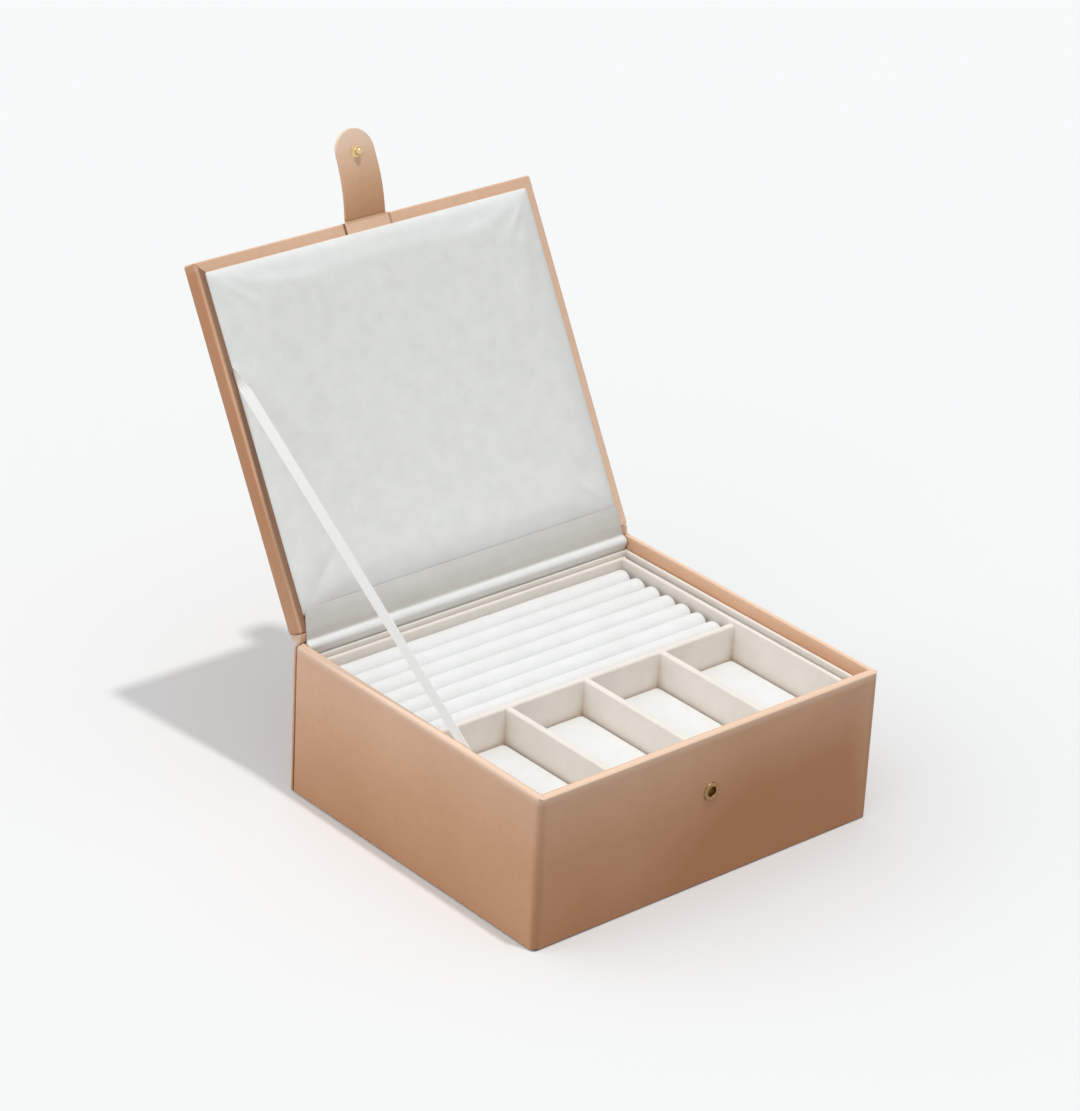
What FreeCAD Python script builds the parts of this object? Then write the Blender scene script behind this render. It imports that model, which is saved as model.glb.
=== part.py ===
import FreeCAD, Part
import math
import os

# Leather jewelry box with a lift-out tray, shown open on its ribbon stay
# Millimetres. X runs along the front, Y to the back, Z up.
# The origin is the centre of the underside.

# Overall sizes of the box
BOX_WIDTH = 200.0
BOX_DEPTH = 173.0
BOX_HEIGHT = 76.0

# Walls: greyboard wrapped in leather
LEATHER = 0.8
WALL_BOARD = 2.0
BASE_BOARD = 2.5
BASE_COVER = 1.0
BASE_COVER_INSET = 2.5
WRAP_LIFT = 0.6
CORNER_RADIUS = 1.8
RIM_ROUND = 0.42
TURN_IN_DEPTH = 14.0
BACK_LEATHER = 1.6
BACK_SEAM = 0.8

# Fabric-covered liners inside the walls
LINER = 1.6
LINER_DROP = 6.3
LINER_GAP = 0.5
FLOOR_PAD = 1.5
EDGE_ROUND = 0.5

# Ledges that carry the tray
LEDGE = 3.0
REST_GAP = 0.3

# Lid: board, leather and a padded lining on a card
LID_SIDE_INSET = 1.5
LID_BOARD = 6.4
LID_LEATHER = 1.0
LID_OVERHANG = 1.5
LID_BACK_INSET = 1.5
LID_EDGE_ROUND = 0.8
LID_CORNER_RADIUS = 1.3
BORDER_WIDTH = 14.0
PAD_SIDE_INSET = 4.5
PAD_FRONT_CLEARANCE = 0.15
PAD_BACK_INSET = 7.0
PAD_CARD = 1.0
PAD_CARD_INSET = 1.2
PAD_EDGE_HEIGHT = 1.9
PAD_CROWN = 0.9
PAD_CORNER_RADIUS = 3.0

# Lid hinge: a leather fold behind the rim, faced with padded fabric
HINGE_INSET = 0.4
HINGE_RISE = 2.8
LID_OPEN_ANGLE = 119.0
HINGE_LEATHER = 0.8
HINGE_LINING = 0.6
HINGE_LINING_TUCK = 8.0
ROLLED_RIM = 1.2

# Ribbon stay on the left
RIBBON_WIDTH = 7.0
RIBBON_THICKNESS = 0.3
RIBBON_LID_REACH = 123.0
RIBBON_BOX_REACH = 115.5
RIBBON_TUCK = 12.0
RIBBON_FOOT = 9.0

# Strap with its snap
TONGUE_WIDTH = 25.0
STRAP_WIDTH = 23.0
STRAP_END_WIDTH = 21.6
STRAP_LAYER = 0.9
STRAP_BEND = 12.0
STRAP_CLEARANCE = 0.3
TONGUE_LENGTH = 22.0
SNAP_DROP = 29.2
SOCKET_RADIUS = 4.5
SOCKET_PROUD = 0.8
SOCKET_BARREL_RADIUS = 3.2
SOCKET_HOLE_RADIUS = 2.4
RIVET_RADIUS = 5.0
RIVET_THICKNESS = 0.6
STUD_RADIUS = 1.9
STUD_NECK_RADIUS = 1.4
STUD_LENGTH = 4.0
STUD_FLANGE_RADIUS = 2.9
STUD_FLANGE = 0.25
CAP_RADIUS = 6.2
CAP_HEIGHT = 1.3

# Tray
TRAY_CLEARANCE = 1.8
TRAY_BACK_CLEARANCE = 0.4
TRAY_RIM_DROP = 8.3
TRAY_HEIGHT = 22.4
TRAY_BASE = 1.8
TRAY_WALL = 2.2
DIVIDER = 3.4
DIVIDER_DROP = 2.4
COMPARTMENTS = 4
COMPARTMENT_PAD = 1.2
COMPARTMENT_PAD_GAP = 0.6
WRAP_ROUND = 1.0

# Ring rolls, side by side between the long divider and the tray's back wall
RINGS_DEPTH = 75.4
ROLL_COUNT = 7
ROLL_GAP = 0.3
ROLL_DROP = 2.6
ROLL_END_GAP = 2.5
ROLL_END_SLOPE = 1.3

# Places worked out from the sizes
HALF_W = BOX_WIDTH / 2
HALF_D = BOX_DEPTH / 2
WALL = LEATHER + WALL_BOARD + LEATHER
BACK_WALL = BACK_LEATHER + WALL_BOARD + HINGE_LINING
FLOOR_Z = BASE_COVER + BASE_BOARD
LINER_TOP = BOX_HEIGHT - LINER_DROP
LINER_X = HALF_W - WALL - LINER_GAP
LINER_FRONT_Y = -HALF_D + WALL + LINER_GAP
LINER_BACK_Y = HALF_D - BACK_WALL - LINER_GAP
WELL_X = LINER_X - LINER
WELL_FRONT_Y = LINER_FRONT_Y + LINER
WELL_BACK_Y = LINER_BACK_Y - LINER
TRAY_TOP = BOX_HEIGHT - TRAY_RIM_DROP
TRAY_BOTTOM = TRAY_TOP - TRAY_HEIGHT
TRAY_FLOOR = TRAY_BOTTOM + TRAY_BASE
TRAY_X = WELL_X - TRAY_CLEARANCE
TRAY_FRONT_Y = WELL_FRONT_Y + TRAY_CLEARANCE
TRAY_BACK_Y = WELL_BACK_Y - TRAY_BACK_CLEARANCE
ROLLS_FRONT_Y = TRAY_BACK_Y - TRAY_WALL - RINGS_DEPTH
ROLL_PITCH = RINGS_DEPTH / ROLL_COUNT
LONG_DIVIDER_Y = ROLLS_FRONT_Y - DIVIDER / 2
LID_WIDTH = BOX_WIDTH - 2 * LID_SIDE_INSET
LID_UNDER = BOX_HEIGHT + REST_GAP
LID_TOP = LID_UNDER + LID_LEATHER + LID_BOARD + LID_LEATHER
LID_FRONT_Y = -HALF_D - LID_OVERHANG
LID_BACK_Y = HALF_D - LID_BACK_INSET
PAD_FRONT_Y = -HALF_D + WALL + PAD_FRONT_CLEARANCE
PAD_BACK_Y = LID_BACK_Y - PAD_BACK_INSET
HINGE_Y = HALF_D - HINGE_INSET
HINGE_Z = BOX_HEIGHT + HINGE_RISE
STRAP_Y = LID_FRONT_Y - STRAP_LAYER - REST_GAP
STRAP_Z = LID_UNDER + LID_LEATHER / 2
SOCKET_Z = BOX_HEIGHT - SNAP_DROP

X_AXIS = FreeCAD.Vector(1, 0, 0)
Y_AXIS = FreeCAD.Vector(0, 1, 0)
Z_AXIS = FreeCAD.Vector(0, 0, 1)
HINGE_POINT = FreeCAD.Vector(0, HINGE_Y, HINGE_Z)
STRAP_POINT = FreeCAD.Vector(0, STRAP_Y, STRAP_Z)

PARTS_FOLDER = "parts"


def block(x0, x1, y0, y1, z0, z1):
    """A box between two corners."""
    return Part.makeBox(x1 - x0, y1 - y0, z1 - z0, FreeCAD.Vector(x0, y0, z0))


def edges_where(shape, test):
    """The edges whose two ends and middle all pass the test."""
    found = []
    for edge in shape.Edges:
        first, last = edge.ParameterRange
        points = [edge.valueAt(first), edge.valueAt((first + last) / 2), edge.valueAt(last)]
        if all(test(point) for point in points):
            found.append(edge)
    return found


def is_upright(edge):
    """True for an edge that runs along Z."""
    box = edge.BoundBox
    return box.ZLength > 10 * max(box.XLength, box.YLength, 0.01)


def round_upright(shape, radius, test=lambda point: True):
    """Round the upright edges that pass the test."""
    picked = [edge for edge in edges_where(shape, test) if is_upright(edge)]
    return shape.makeFillet(radius, picked)


def round_at_height(shape, z, radius):
    """Round every edge that lies at one height."""
    return shape.makeFillet(radius, edges_where(shape, lambda point: abs(point.z - z) < 0.01))


def opened(shape):
    """Turn a piece of the closed lid to where the ribbon stay holds it."""
    turned = shape.copy()
    turned.rotate(HINGE_POINT, X_AXIS, -LID_OPEN_ANGLE)
    return turned


def bent(shape):
    """Turn a piece of the straight strap by its bend, then open it with the lid."""
    turned = shape.copy()
    turned.rotate(STRAP_POINT, X_AXIS, STRAP_BEND)
    return opened(turned)


def opened_point(y, z):
    """Where a point of the closed lid lies once the lid is open."""
    angle = math.radians(-LID_OPEN_ANGLE)
    dy = y - HINGE_Y
    dz = z - HINGE_Z
    new_y = HINGE_Y + dy * math.cos(angle) - dz * math.sin(angle)
    new_z = HINGE_Z + dy * math.sin(angle) + dz * math.cos(angle)
    return new_y, new_z


def extrude_yz(wire, half_width):
    """A solid of an outline in the YZ plane, as wide as asked and centred on X."""
    face = Part.Face(wire)
    return face.extrude(FreeCAD.Vector(2 * half_width, 0, 0))


def yz(x, y, z):
    """A point of an outline in a plane square to X."""
    return FreeCAD.Vector(x, y, z)


def band(centre_points, thickness, half_width):
    """A strip of even thickness along a smooth line in the YZ plane, in short straight steps."""
    line = Part.BSplineCurve()
    line.interpolate([yz(-half_width, y, z) for y, z in centre_points])
    count = 3 * len(centre_points)
    first = line.FirstParameter
    last = line.LastParameter
    near = []
    far = []
    for index in range(count + 1):
        parameter = first + (last - first) * index / count
        point = line.value(parameter)
        tangent = line.tangent(parameter)[0]
        across = X_AXIS.cross(tangent)
        near.append(point + across * (thickness / 2))
        far.insert(0, point - across * (thickness / 2))
    return extrude_yz(Part.makePolygon(near + far + near[:1]), half_width)


def wall_ring(inset, top, bottom, back_y):
    """The front and side walls as one U, closed at the front and open at the back."""
    outer = block(-HALF_W + inset, HALF_W - inset, -HALF_D + inset, back_y, bottom, top)
    outer = round_upright(outer, CORNER_RADIUS - inset, lambda point: point.y < 0)
    reach = WALL - inset
    inner = block(-HALF_W + reach, HALF_W - reach, -HALF_D + reach, back_y + 1, bottom - 1, top + 1)
    return outer.cut(inner)


def rim_edges(shape, top, back_y):
    """The long edges along the top of the walls, not the short ones at its back ends."""
    found = []
    for edge in shape.Edges:
        box = edge.BoundBox
        at_top = box.ZMin > top - 0.01
        across_end = box.YMin > back_y - 0.01
        if at_top and not across_end:
            found.append(edge)
    return found


def side_wrap():
    """One leather sheet round the front and sides, turned over the rim and down inside."""
    back_y = HALF_D - BACK_LEATHER - BACK_SEAM
    wrap = wall_ring(0, BOX_HEIGHT, WRAP_LIFT, back_y)
    wrap = wrap.makeFillet(WALL * RIM_ROUND, rim_edges(wrap, BOX_HEIGHT, back_y))
    core_top = BOX_HEIGHT - LEATHER
    core = wall_ring(LEATHER, core_top, WRAP_LIFT - 1, back_y + 1)
    core = core.makeFillet(WALL_BOARD * RIM_ROUND, rim_edges(core, core_top, back_y + 1))
    turn_in_end = BOX_HEIGHT - TURN_IN_DEPTH
    reach = WALL - LEATHER
    bare = block(-HALF_W + reach, HALF_W - reach, -HALF_D + reach, back_y + 1, WRAP_LIFT - 1, turn_in_end)
    return wrap.cut(core).cut(bare).cut(back_board())


def board_core():
    """The space of the front and side boards, with their eased top edge."""
    back_y = HALF_D - BACK_LEATHER - WALL_BOARD
    core_top = BOX_HEIGHT - LEATHER
    core = wall_ring(LEATHER, core_top, WRAP_LIFT, back_y)
    return core.makeFillet(WALL_BOARD * RIM_ROUND, rim_edges(core, core_top, back_y))


def socket_bore(radius):
    """The bore for the snap through the front wall."""
    start = FreeCAD.Vector(0, -HALF_D - 5, SOCKET_Z)
    return Part.makeCylinder(radius, 5 + WALL + 1, start, Y_AXIS)


def front_board():
    """The front board, between the side boards."""
    split_x = HALF_W - LEATHER - WALL_BOARD
    board = board_core().common(block(-split_x, split_x, -HALF_D, 0, 0, BOX_HEIGHT))
    return board.cut(socket_bore(SOCKET_BARREL_RADIUS))


def side_board(side):
    """A side board: -1 is the left one, 1 the right one."""
    inner_x = HALF_W - LEATHER - WALL_BOARD
    low = min(side * inner_x, side * HALF_W)
    high = max(side * inner_x, side * HALF_W)
    return board_core().common(block(low, high, -HALF_D, HALF_D, 0, BOX_HEIGHT))


def back_board():
    """The back board, as wide as the box inside its leather."""
    reach_x = HALF_W - LEATHER
    back_y = HALF_D - BACK_LEATHER
    top = BOX_HEIGHT - LEATHER
    return block(-reach_x, reach_x, back_y - WALL_BOARD, back_y, WRAP_LIFT, top)


def base_board():
    """The bottom board, inside the wall boards."""
    reach_x = HALF_W - LEATHER - WALL_BOARD
    front_y = -HALF_D + LEATHER + WALL_BOARD
    back_y = HALF_D - BACK_LEATHER - WALL_BOARD
    return block(-reach_x, reach_x, front_y, back_y, BASE_COVER, FLOOR_Z)


def base_cover():
    """The felt sheet under the box, which is what it stands on."""
    reach_x = HALF_W - BASE_COVER_INSET
    reach_y = HALF_D - BASE_COVER_INSET
    sheet = block(-reach_x, reach_x, -reach_y, reach_y, 0, BASE_COVER)
    sheet = round_upright(sheet, CORNER_RADIUS)
    return sheet.cut(wall_feet())


def wall_feet():
    """The lowest stretch of the walls, which the cover sheet is trimmed round."""
    front_y = -HALF_D + LEATHER + WALL_BOARD
    back_y = HALF_D - BACK_LEATHER - WALL_BOARD
    reach_x = HALF_W - LEATHER - WALL_BOARD
    around = block(-HALF_W, HALF_W, -HALF_D, HALF_D, WRAP_LIFT, BOX_HEIGHT)
    return around.cut(block(-reach_x, reach_x, front_y, back_y, 0, BOX_HEIGHT))


def floor_pad():
    """The padded fabric floor of the well under the tray."""
    pad = block(-WELL_X, WELL_X, WELL_FRONT_Y, WELL_BACK_Y, FLOOR_Z, FLOOR_Z + FLOOR_PAD)
    return round_at_height(pad, FLOOR_Z + FLOOR_PAD, EDGE_ROUND)


def back_panel():
    """The leather over the back wall, whose cut ends show at the back corners."""
    top = BOX_HEIGHT - LEATHER
    panel = block(-HALF_W, HALF_W, HALF_D - BACK_LEATHER, HALF_D, WRAP_LIFT, top)
    corners = [edge for edge in panel.Edges if is_upright(edge) and edge.BoundBox.YMin > HALF_D - 0.01]
    return panel.makeFillet(BACK_LEATHER / 2, corners)


def hinge_leather():
    """The leather fold from the top of the back wall to the lid, with its ends turned in."""
    lid_y, lid_z = opened_point(LID_BACK_Y + REST_GAP, LID_TOP - HINGE_LEATHER)
    start_y = HALF_D - BACK_LEATHER / 2
    start_z = BOX_HEIGHT - LEATHER + REST_GAP + HINGE_LEATHER / 2
    middle_y = (start_y + lid_y) / 2 + 0.4
    middle_z = (start_z + lid_z) / 2 - 0.5
    half = LID_WIDTH / 2
    fold = band([(start_y, start_z), (middle_y, middle_z), (lid_y, lid_z)], HINGE_LEATHER, half)
    front_y, front_z = opened_point(LID_BACK_Y + REST_GAP, LID_UNDER + HINGE_LEATHER)
    corners = [
        yz(-half, HALF_D - BACK_WALL + HINGE_LINING, BOX_HEIGHT + REST_GAP),
        yz(-half, start_y, start_z),
        yz(-half, middle_y, middle_z),
        yz(-half, lid_y, lid_z),
        yz(-half, front_y, front_z),
    ]
    flap = Part.Face(Part.makePolygon(corners + corners[:1])).extrude(X_AXIS * HINGE_LEATHER)
    other = flap.copy()
    other.translate(X_AXIS * (2 * half - HINGE_LEATHER))
    return fold.fuse([flap, other]).removeSplitter()


def hinge_lining():
    """The white cloth inside the fold: behind the back liner, in a roll at the rim, then up to the lid."""
    inner_y = HALF_D - BACK_WALL - LINER_GAP / 2 + HINGE_LINING / 2
    low_z = LINER_TOP - HINGE_LINING_TUCK
    lid_y, lid_z = opened_point(PAD_BACK_Y + REST_GAP, LID_UNDER - PAD_CARD)
    turn_y, turn_z = opened_point(LID_BACK_Y, LID_UNDER - HINGE_LINING)
    points = [
        (inner_y, low_z),
        (inner_y, low_z + HINGE_LINING_TUCK / 2),
        (inner_y, LINER_TOP),
        (inner_y - ROLLED_RIM / 2, BOX_HEIGHT - 3.8),
        (inner_y - ROLLED_RIM, BOX_HEIGHT - 1.4),
        (inner_y - ROLLED_RIM / 2, BOX_HEIGHT + 0.4),
        (inner_y + 0.7, BOX_HEIGHT + 0.7),
        (turn_y, turn_z - 3.2),
        (turn_y, turn_z),
        (lid_y, lid_z),
    ]
    return band(points, HINGE_LINING, HALF_W - WALL - REST_GAP)


def liner(x0, x1, y0, y1):
    """A fabric-covered liner board with an eased top."""
    panel = block(x0, x1, y0, y1, FLOOR_Z, LINER_TOP)
    return round_at_height(panel, LINER_TOP, EDGE_ROUND)


def tray_ledge(side):
    """A ledge on a side liner that carries the tray: -1 is left, 1 right."""
    low = min(side * WELL_X, side * (WELL_X - LEDGE))
    high = max(side * WELL_X, side * (WELL_X - LEDGE))
    floor = FLOOR_Z + FLOOR_PAD
    ledge = block(low, high, WELL_FRONT_Y, WELL_BACK_Y, floor, TRAY_BOTTOM - REST_GAP)
    return round_at_height(ledge, TRAY_BOTTOM - REST_GAP, EDGE_ROUND)


def snap_socket():
    """The female half of the snap: a rolled ring on the front, its barrel through the wall."""
    front = -HALF_D - SOCKET_PROUD
    hole = SOCKET_HOLE_RADIUS
    back = -HALF_D + LEATHER + WALL_BOARD
    rim_round = SOCKET_PROUD / 2
    outline = [
        FreeCAD.Vector(hole, front + rim_round, 0),
        FreeCAD.Vector(hole + rim_round, front, 0),
        FreeCAD.Vector(SOCKET_RADIUS - rim_round, front, 0),
        FreeCAD.Vector(SOCKET_RADIUS, front + rim_round, 0),
        FreeCAD.Vector(SOCKET_RADIUS, -HALF_D, 0),
        FreeCAD.Vector(SOCKET_BARREL_RADIUS, -HALF_D, 0),
        FreeCAD.Vector(SOCKET_BARREL_RADIUS, back, 0),
        FreeCAD.Vector(hole, back, 0),
    ]
    face = Part.Face(Part.makePolygon(outline + outline[:1]))
    ring = face.revolve(FreeCAD.Vector(0, 0, 0), Y_AXIS, 360)
    ring.translate(FreeCAD.Vector(0, 0, SOCKET_Z))
    return ring


def socket_rivet():
    """The washer that clinches the socket behind the front board."""
    back = -HALF_D + LEATHER + WALL_BOARD
    centre = FreeCAD.Vector(0, back, SOCKET_Z)
    return Part.makeCylinder(RIVET_RADIUS, RIVET_THICKNESS, centre, Y_AXIS)


def ribbon_line():
    """The ribbon's two ends in the YZ plane: at the rim's height and on the lid's face."""
    wall = (HINGE_Y - RIBBON_BOX_REACH, BOX_HEIGHT)
    lid = opened_point(LID_BACK_Y - RIBBON_LID_REACH, LID_UNDER)
    return wall, lid


def stay_ribbon():
    """The taut ribbon that holds the lid open, one end behind the liner, one under the card."""
    wall, lid = ribbon_line()
    length = math.hypot(lid[0] - wall[0], lid[1] - wall[1])
    low_x = -HALF_W + WALL + LINER_GAP / 2
    lid_x = -LID_WIDTH / 2 + PAD_SIDE_INSET - RIBBON_THICKNESS
    slope = (lid_x - low_x) / (length + RIBBON_TUCK)
    step = FreeCAD.Vector(slope, (lid[0] - wall[0]) / length, (lid[1] - wall[1]) / length)
    across = X_AXIS.cross(step).normalize() * (RIBBON_WIDTH / 2)
    side = X_AXIS * (RIBBON_THICKNESS / 2)
    low = FreeCAD.Vector(low_x, wall[0] - step.y * RIBBON_TUCK, wall[1] - step.z * RIBBON_TUCK)
    corners = [low - across - side, low + across - side, low + across + side, low - across + side]
    section = Part.Face(Part.makePolygon(corners + corners[:1]))
    run = section.extrude(step * (length + RIBBON_TUCK + 2 * RIBBON_WIDTH))
    half = LID_WIDTH / 2
    lid_space = opened(block(-half, half, LID_FRONT_Y, LID_BACK_Y, LID_UNDER, LID_UNDER + 3 * RIBBON_WIDTH))
    run = run.cut(lid_space)
    middle_y = LID_BACK_Y - RIBBON_LID_REACH
    half_foot = RIBBON_WIDTH / 2
    foot = block(lid_x - RIBBON_THICKNESS / 2, lid_x + RIBBON_FOOT, middle_y - half_foot, middle_y + half_foot,
                 LID_UNDER - RIBBON_THICKNESS, LID_UNDER)
    return run.fuse(opened(foot))


def lid_shell_outer():
    """The closed lid's outer form."""
    half = LID_WIDTH / 2
    lid = block(-half, half, LID_FRONT_Y, LID_BACK_Y, LID_UNDER, LID_TOP)
    lid = round_upright(lid, LID_CORNER_RADIUS)
    lid = round_at_height(lid, LID_TOP, LID_EDGE_ROUND)
    return round_at_height(lid, LID_UNDER, LID_EDGE_ROUND)


def lid_board_closed():
    """The lid's board, where it lies with the lid closed."""
    half = LID_WIDTH / 2 - LID_LEATHER
    board = block(-half, half, LID_FRONT_Y + LID_LEATHER, LID_BACK_Y - LID_LEATHER,
                  LID_UNDER + LID_LEATHER, LID_TOP - LID_LEATHER)
    return round_upright(board, LID_CORNER_RADIUS - LID_LEATHER)


def lid_leather():
    """The lid's leather: over the top and edges, then in over the border below."""
    half = LID_WIDTH / 2 - BORDER_WIDTH
    window = block(-half, half, LID_FRONT_Y + BORDER_WIDTH, LID_BACK_Y - BORDER_WIDTH,
                   LID_UNDER - 1, LID_UNDER + LID_LEATHER)
    notch_half = TONGUE_WIDTH / 2 + STRAP_CLEARANCE
    notch = block(-notch_half, notch_half, LID_FRONT_Y - 1, LID_FRONT_Y + BORDER_WIDTH + 1,
                  LID_UNDER - 1, LID_UNDER + LID_LEATHER)
    shell = lid_shell_outer().cut(lid_board_closed())
    return opened(shell.cut(window).cut(notch))


def pad_outline(inset, z0, z1, radius):
    """A slab with the padded lining's outline."""
    half = LID_WIDTH / 2 - PAD_SIDE_INSET - inset
    slab = block(-half, half, PAD_FRONT_Y + inset, PAD_BACK_Y - inset, z0, z1)
    return round_upright(slab, radius)


def stay_slot():
    """The shallow slot in the card and lining that the ribbon's foot lies in."""
    y_mid = LID_BACK_Y - RIBBON_LID_REACH
    half = RIBBON_WIDTH / 2 + REST_GAP
    x0 = -LID_WIDTH / 2
    x1 = x0 + PAD_SIDE_INSET + RIBBON_FOOT + REST_GAP
    return block(x0, x1, y_mid - half, y_mid + half, LID_UNDER - RIBBON_THICKNESS - REST_GAP, LID_UNDER + 1)


def pad_card_closed():
    """The card that stiffens the padded lining."""
    return pad_outline(PAD_CARD_INSET, LID_UNDER - PAD_CARD, LID_UNDER, PAD_CORNER_RADIUS - PAD_CARD_INSET)


def lid_pad_card():
    """The card with its slot for the ribbon."""
    return opened(pad_card_closed().cut(stay_slot()))


def lid_lining():
    """The padded lining: a low cushion with a crown and drawn-in edges round its card."""
    edge = pad_outline(0, LID_UNDER - PAD_EDGE_HEIGHT, LID_UNDER, PAD_CORNER_RADIUS)
    edge = round_at_height(edge, LID_UNDER - PAD_EDGE_HEIGHT, PAD_EDGE_HEIGHT * 0.6)
    inset = PAD_EDGE_HEIGHT
    centre_y = (PAD_FRONT_Y + PAD_BACK_Y) / 2
    half_x = LID_WIDTH / 2 - PAD_SIDE_INSET - inset
    half_y = (PAD_BACK_Y - PAD_FRONT_Y) / 2 - inset
    crown = crown_solid(half_x, half_y, centre_y, LID_UNDER - PAD_EDGE_HEIGHT)
    pad = edge.fuse(crown).removeSplitter()
    return opened(pad.cut(pad_card_closed()).cut(stay_slot()))


def arc_section(x, centre_y, half_y, z, drop):
    """A closed section across the crown: an arc below, a straight line above."""
    left = yz(x, centre_y - half_y, z)
    right = yz(x, centre_y + half_y, z)
    low = yz(x, centre_y, z - drop)
    lift = FreeCAD.Vector(0, 0, 0.4)
    arc = Part.Arc(left, low, right).toShape()
    lines = [
        Part.makeLine(right, right + lift),
        Part.makeLine(right + lift, left + lift),
        Part.makeLine(left + lift, left),
    ]
    return Part.Wire([arc] + lines)


def crown_solid(half_x, half_y, centre_y, z):
    """The pad's gentle crown, lofted from end to middle to end."""
    sections = []
    for step in (-1.0, -0.6, 0.0, 0.6, 1.0):
        drop = 0.15 + PAD_CROWN * (1 - step * step)
        sections.append(arc_section(step * half_x, centre_y, half_y, z, drop))
    return Part.makeLoft(sections, True, False)


def strap_tongue():
    """The strap's root, flush in the lid's border and glued under the lining's card."""
    half = TONGUE_WIDTH / 2
    tongue = block(-half, half, LID_FRONT_Y, LID_FRONT_Y + TONGUE_LENGTH, LID_UNDER, LID_UNDER + LID_LEATHER)
    return opened(tongue)


def strap_layer(z0, z1, start_y):
    """One layer of the straight strap, which narrows from its rounded root to its round end."""
    half = STRAP_WIDTH / 2
    centre_y = STRAP_Y - snap_reach()
    left_root = FreeCAD.Vector(-half, start_y, z0)
    right_root = FreeCAD.Vector(half, start_y, z0)
    half_end = STRAP_END_WIDTH / 2
    left_end = FreeCAD.Vector(-half_end, centre_y, z0)
    right_end = FreeCAD.Vector(half_end, centre_y, z0)
    tip = FreeCAD.Vector(0, centre_y - half_end, z0)
    outline = Part.Wire([
        Part.makeLine(right_root, left_root),
        Part.makeLine(left_root, left_end),
        Part.Arc(left_end, tip, right_end).toShape(),
        Part.makeLine(right_end, right_root),
    ])
    layer = Part.Face(outline).extrude(FreeCAD.Vector(0, 0, z1 - z0))
    root = Part.makeCylinder(STRAP_LAYER, STRAP_WIDTH, FreeCAD.Vector(-half, STRAP_Y, STRAP_Z), X_AXIS)
    root = root.common(block(-half, half, start_y, start_y + STRAP_LAYER, z0, z1))
    return layer.fuse(root).removeSplitter()


def snap_reach():
    """How far the stud lies from the strap's fold, so that it meets the socket."""
    return STRAP_Z - SOCKET_Z


def stud_bore():
    """The hole for the stud through both layers of the strap."""
    start = FreeCAD.Vector(0, STRAP_Y - snap_reach(), STRAP_Z - 5)
    return Part.makeCylinder(STUD_NECK_RADIUS, 10, start, Z_AXIS)


def strap_face():
    """The strap's outer leather, which starts at the lid's edge."""
    layer = strap_layer(STRAP_Z, STRAP_Z + STRAP_LAYER, STRAP_Y)
    return bent(layer.cut(stud_bore()))


def strap_lining():
    """The strap's inner leather, which carries on as the tongue."""
    layer = strap_layer(STRAP_Z - STRAP_LAYER, STRAP_Z, STRAP_Y)
    return bent(layer.cut(stud_bore()))


def revolve_on_stud(radii_and_heights):
    """A turned piece on the stud's axis, from its radii and heights above the strap."""
    outline = [FreeCAD.Vector(radius, 0, height) for radius, height in radii_and_heights]
    face = Part.Face(Part.makePolygon(outline + outline[:1]))
    turned = face.revolve(FreeCAD.Vector(0, 0, 0), Z_AXIS, 360)
    turned.translate(FreeCAD.Vector(0, STRAP_Y - snap_reach(), STRAP_Z))
    return bent(turned)


def snap_stud():
    """The male half of the snap: a flange on the strap, a neck and a ball end."""
    low = -STRAP_LAYER
    tip = low - STUD_LENGTH
    ball = STUD_RADIUS
    return revolve_on_stud([
        (0, low),
        (STUD_FLANGE_RADIUS, low),
        (STUD_FLANGE_RADIUS, low - STUD_FLANGE),
        (STUD_NECK_RADIUS, low - STUD_FLANGE * 2),
        (STUD_NECK_RADIUS, tip + 1.6 * ball),
        (ball, tip + 1.1 * ball),
        (ball, tip + 0.5 * ball),
        (0.6 * ball, tip),
        (0, tip),
    ])


def stud_cap():
    """The snap's domed cap on the strap's outside, with the post that holds the stud."""
    high = STRAP_LAYER
    top = high + CAP_HEIGHT
    return revolve_on_stud([
        (0, -STRAP_LAYER),
        (STUD_NECK_RADIUS, -STRAP_LAYER),
        (STUD_NECK_RADIUS, high),
        (CAP_RADIUS, high),
        (CAP_RADIUS, high + CAP_HEIGHT * 0.3),
        (CAP_RADIUS * 0.84, high + CAP_HEIGHT * 0.7),
        (CAP_RADIUS * 0.45, top),
        (0, top),
    ])


def wrapped_board(x0, x1, y0, y1, z0, z1):
    """A fabric-wrapped board whose long top edges are soft."""
    board = block(x0, x1, y0, y1, z0, z1)
    along_x = (x1 - x0) > (y1 - y0)
    picked = []
    for edge in edges_where(board, lambda point: point.z > z1 - 0.01):
        box = edge.BoundBox
        if (box.XLength > box.YLength) == along_x:
            picked.append(edge)
    return board.makeFillet(WRAP_ROUND, picked)


def tray_base():
    """The tray's floor board, under its walls."""
    return block(-TRAY_X, TRAY_X, TRAY_FRONT_Y, TRAY_BACK_Y, TRAY_BOTTOM, TRAY_FLOOR)


def tray_walls():
    """The tray's four walls by name: front and back full width, the sides between them."""
    inner_x = TRAY_X - TRAY_WALL
    inner_front = TRAY_FRONT_Y + TRAY_WALL
    inner_back = TRAY_BACK_Y - TRAY_WALL
    return {
        "front": wrapped_board(-TRAY_X, TRAY_X, TRAY_FRONT_Y, inner_front, TRAY_FLOOR, TRAY_TOP),
        "back": wrapped_board(-TRAY_X, TRAY_X, inner_back, TRAY_BACK_Y, TRAY_FLOOR, TRAY_TOP),
        "left": wrapped_board(-TRAY_X, -inner_x, inner_front, inner_back, TRAY_FLOOR, TRAY_TOP),
        "right": wrapped_board(inner_x, TRAY_X, inner_front, inner_back, TRAY_FLOOR, TRAY_TOP),
    }


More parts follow.
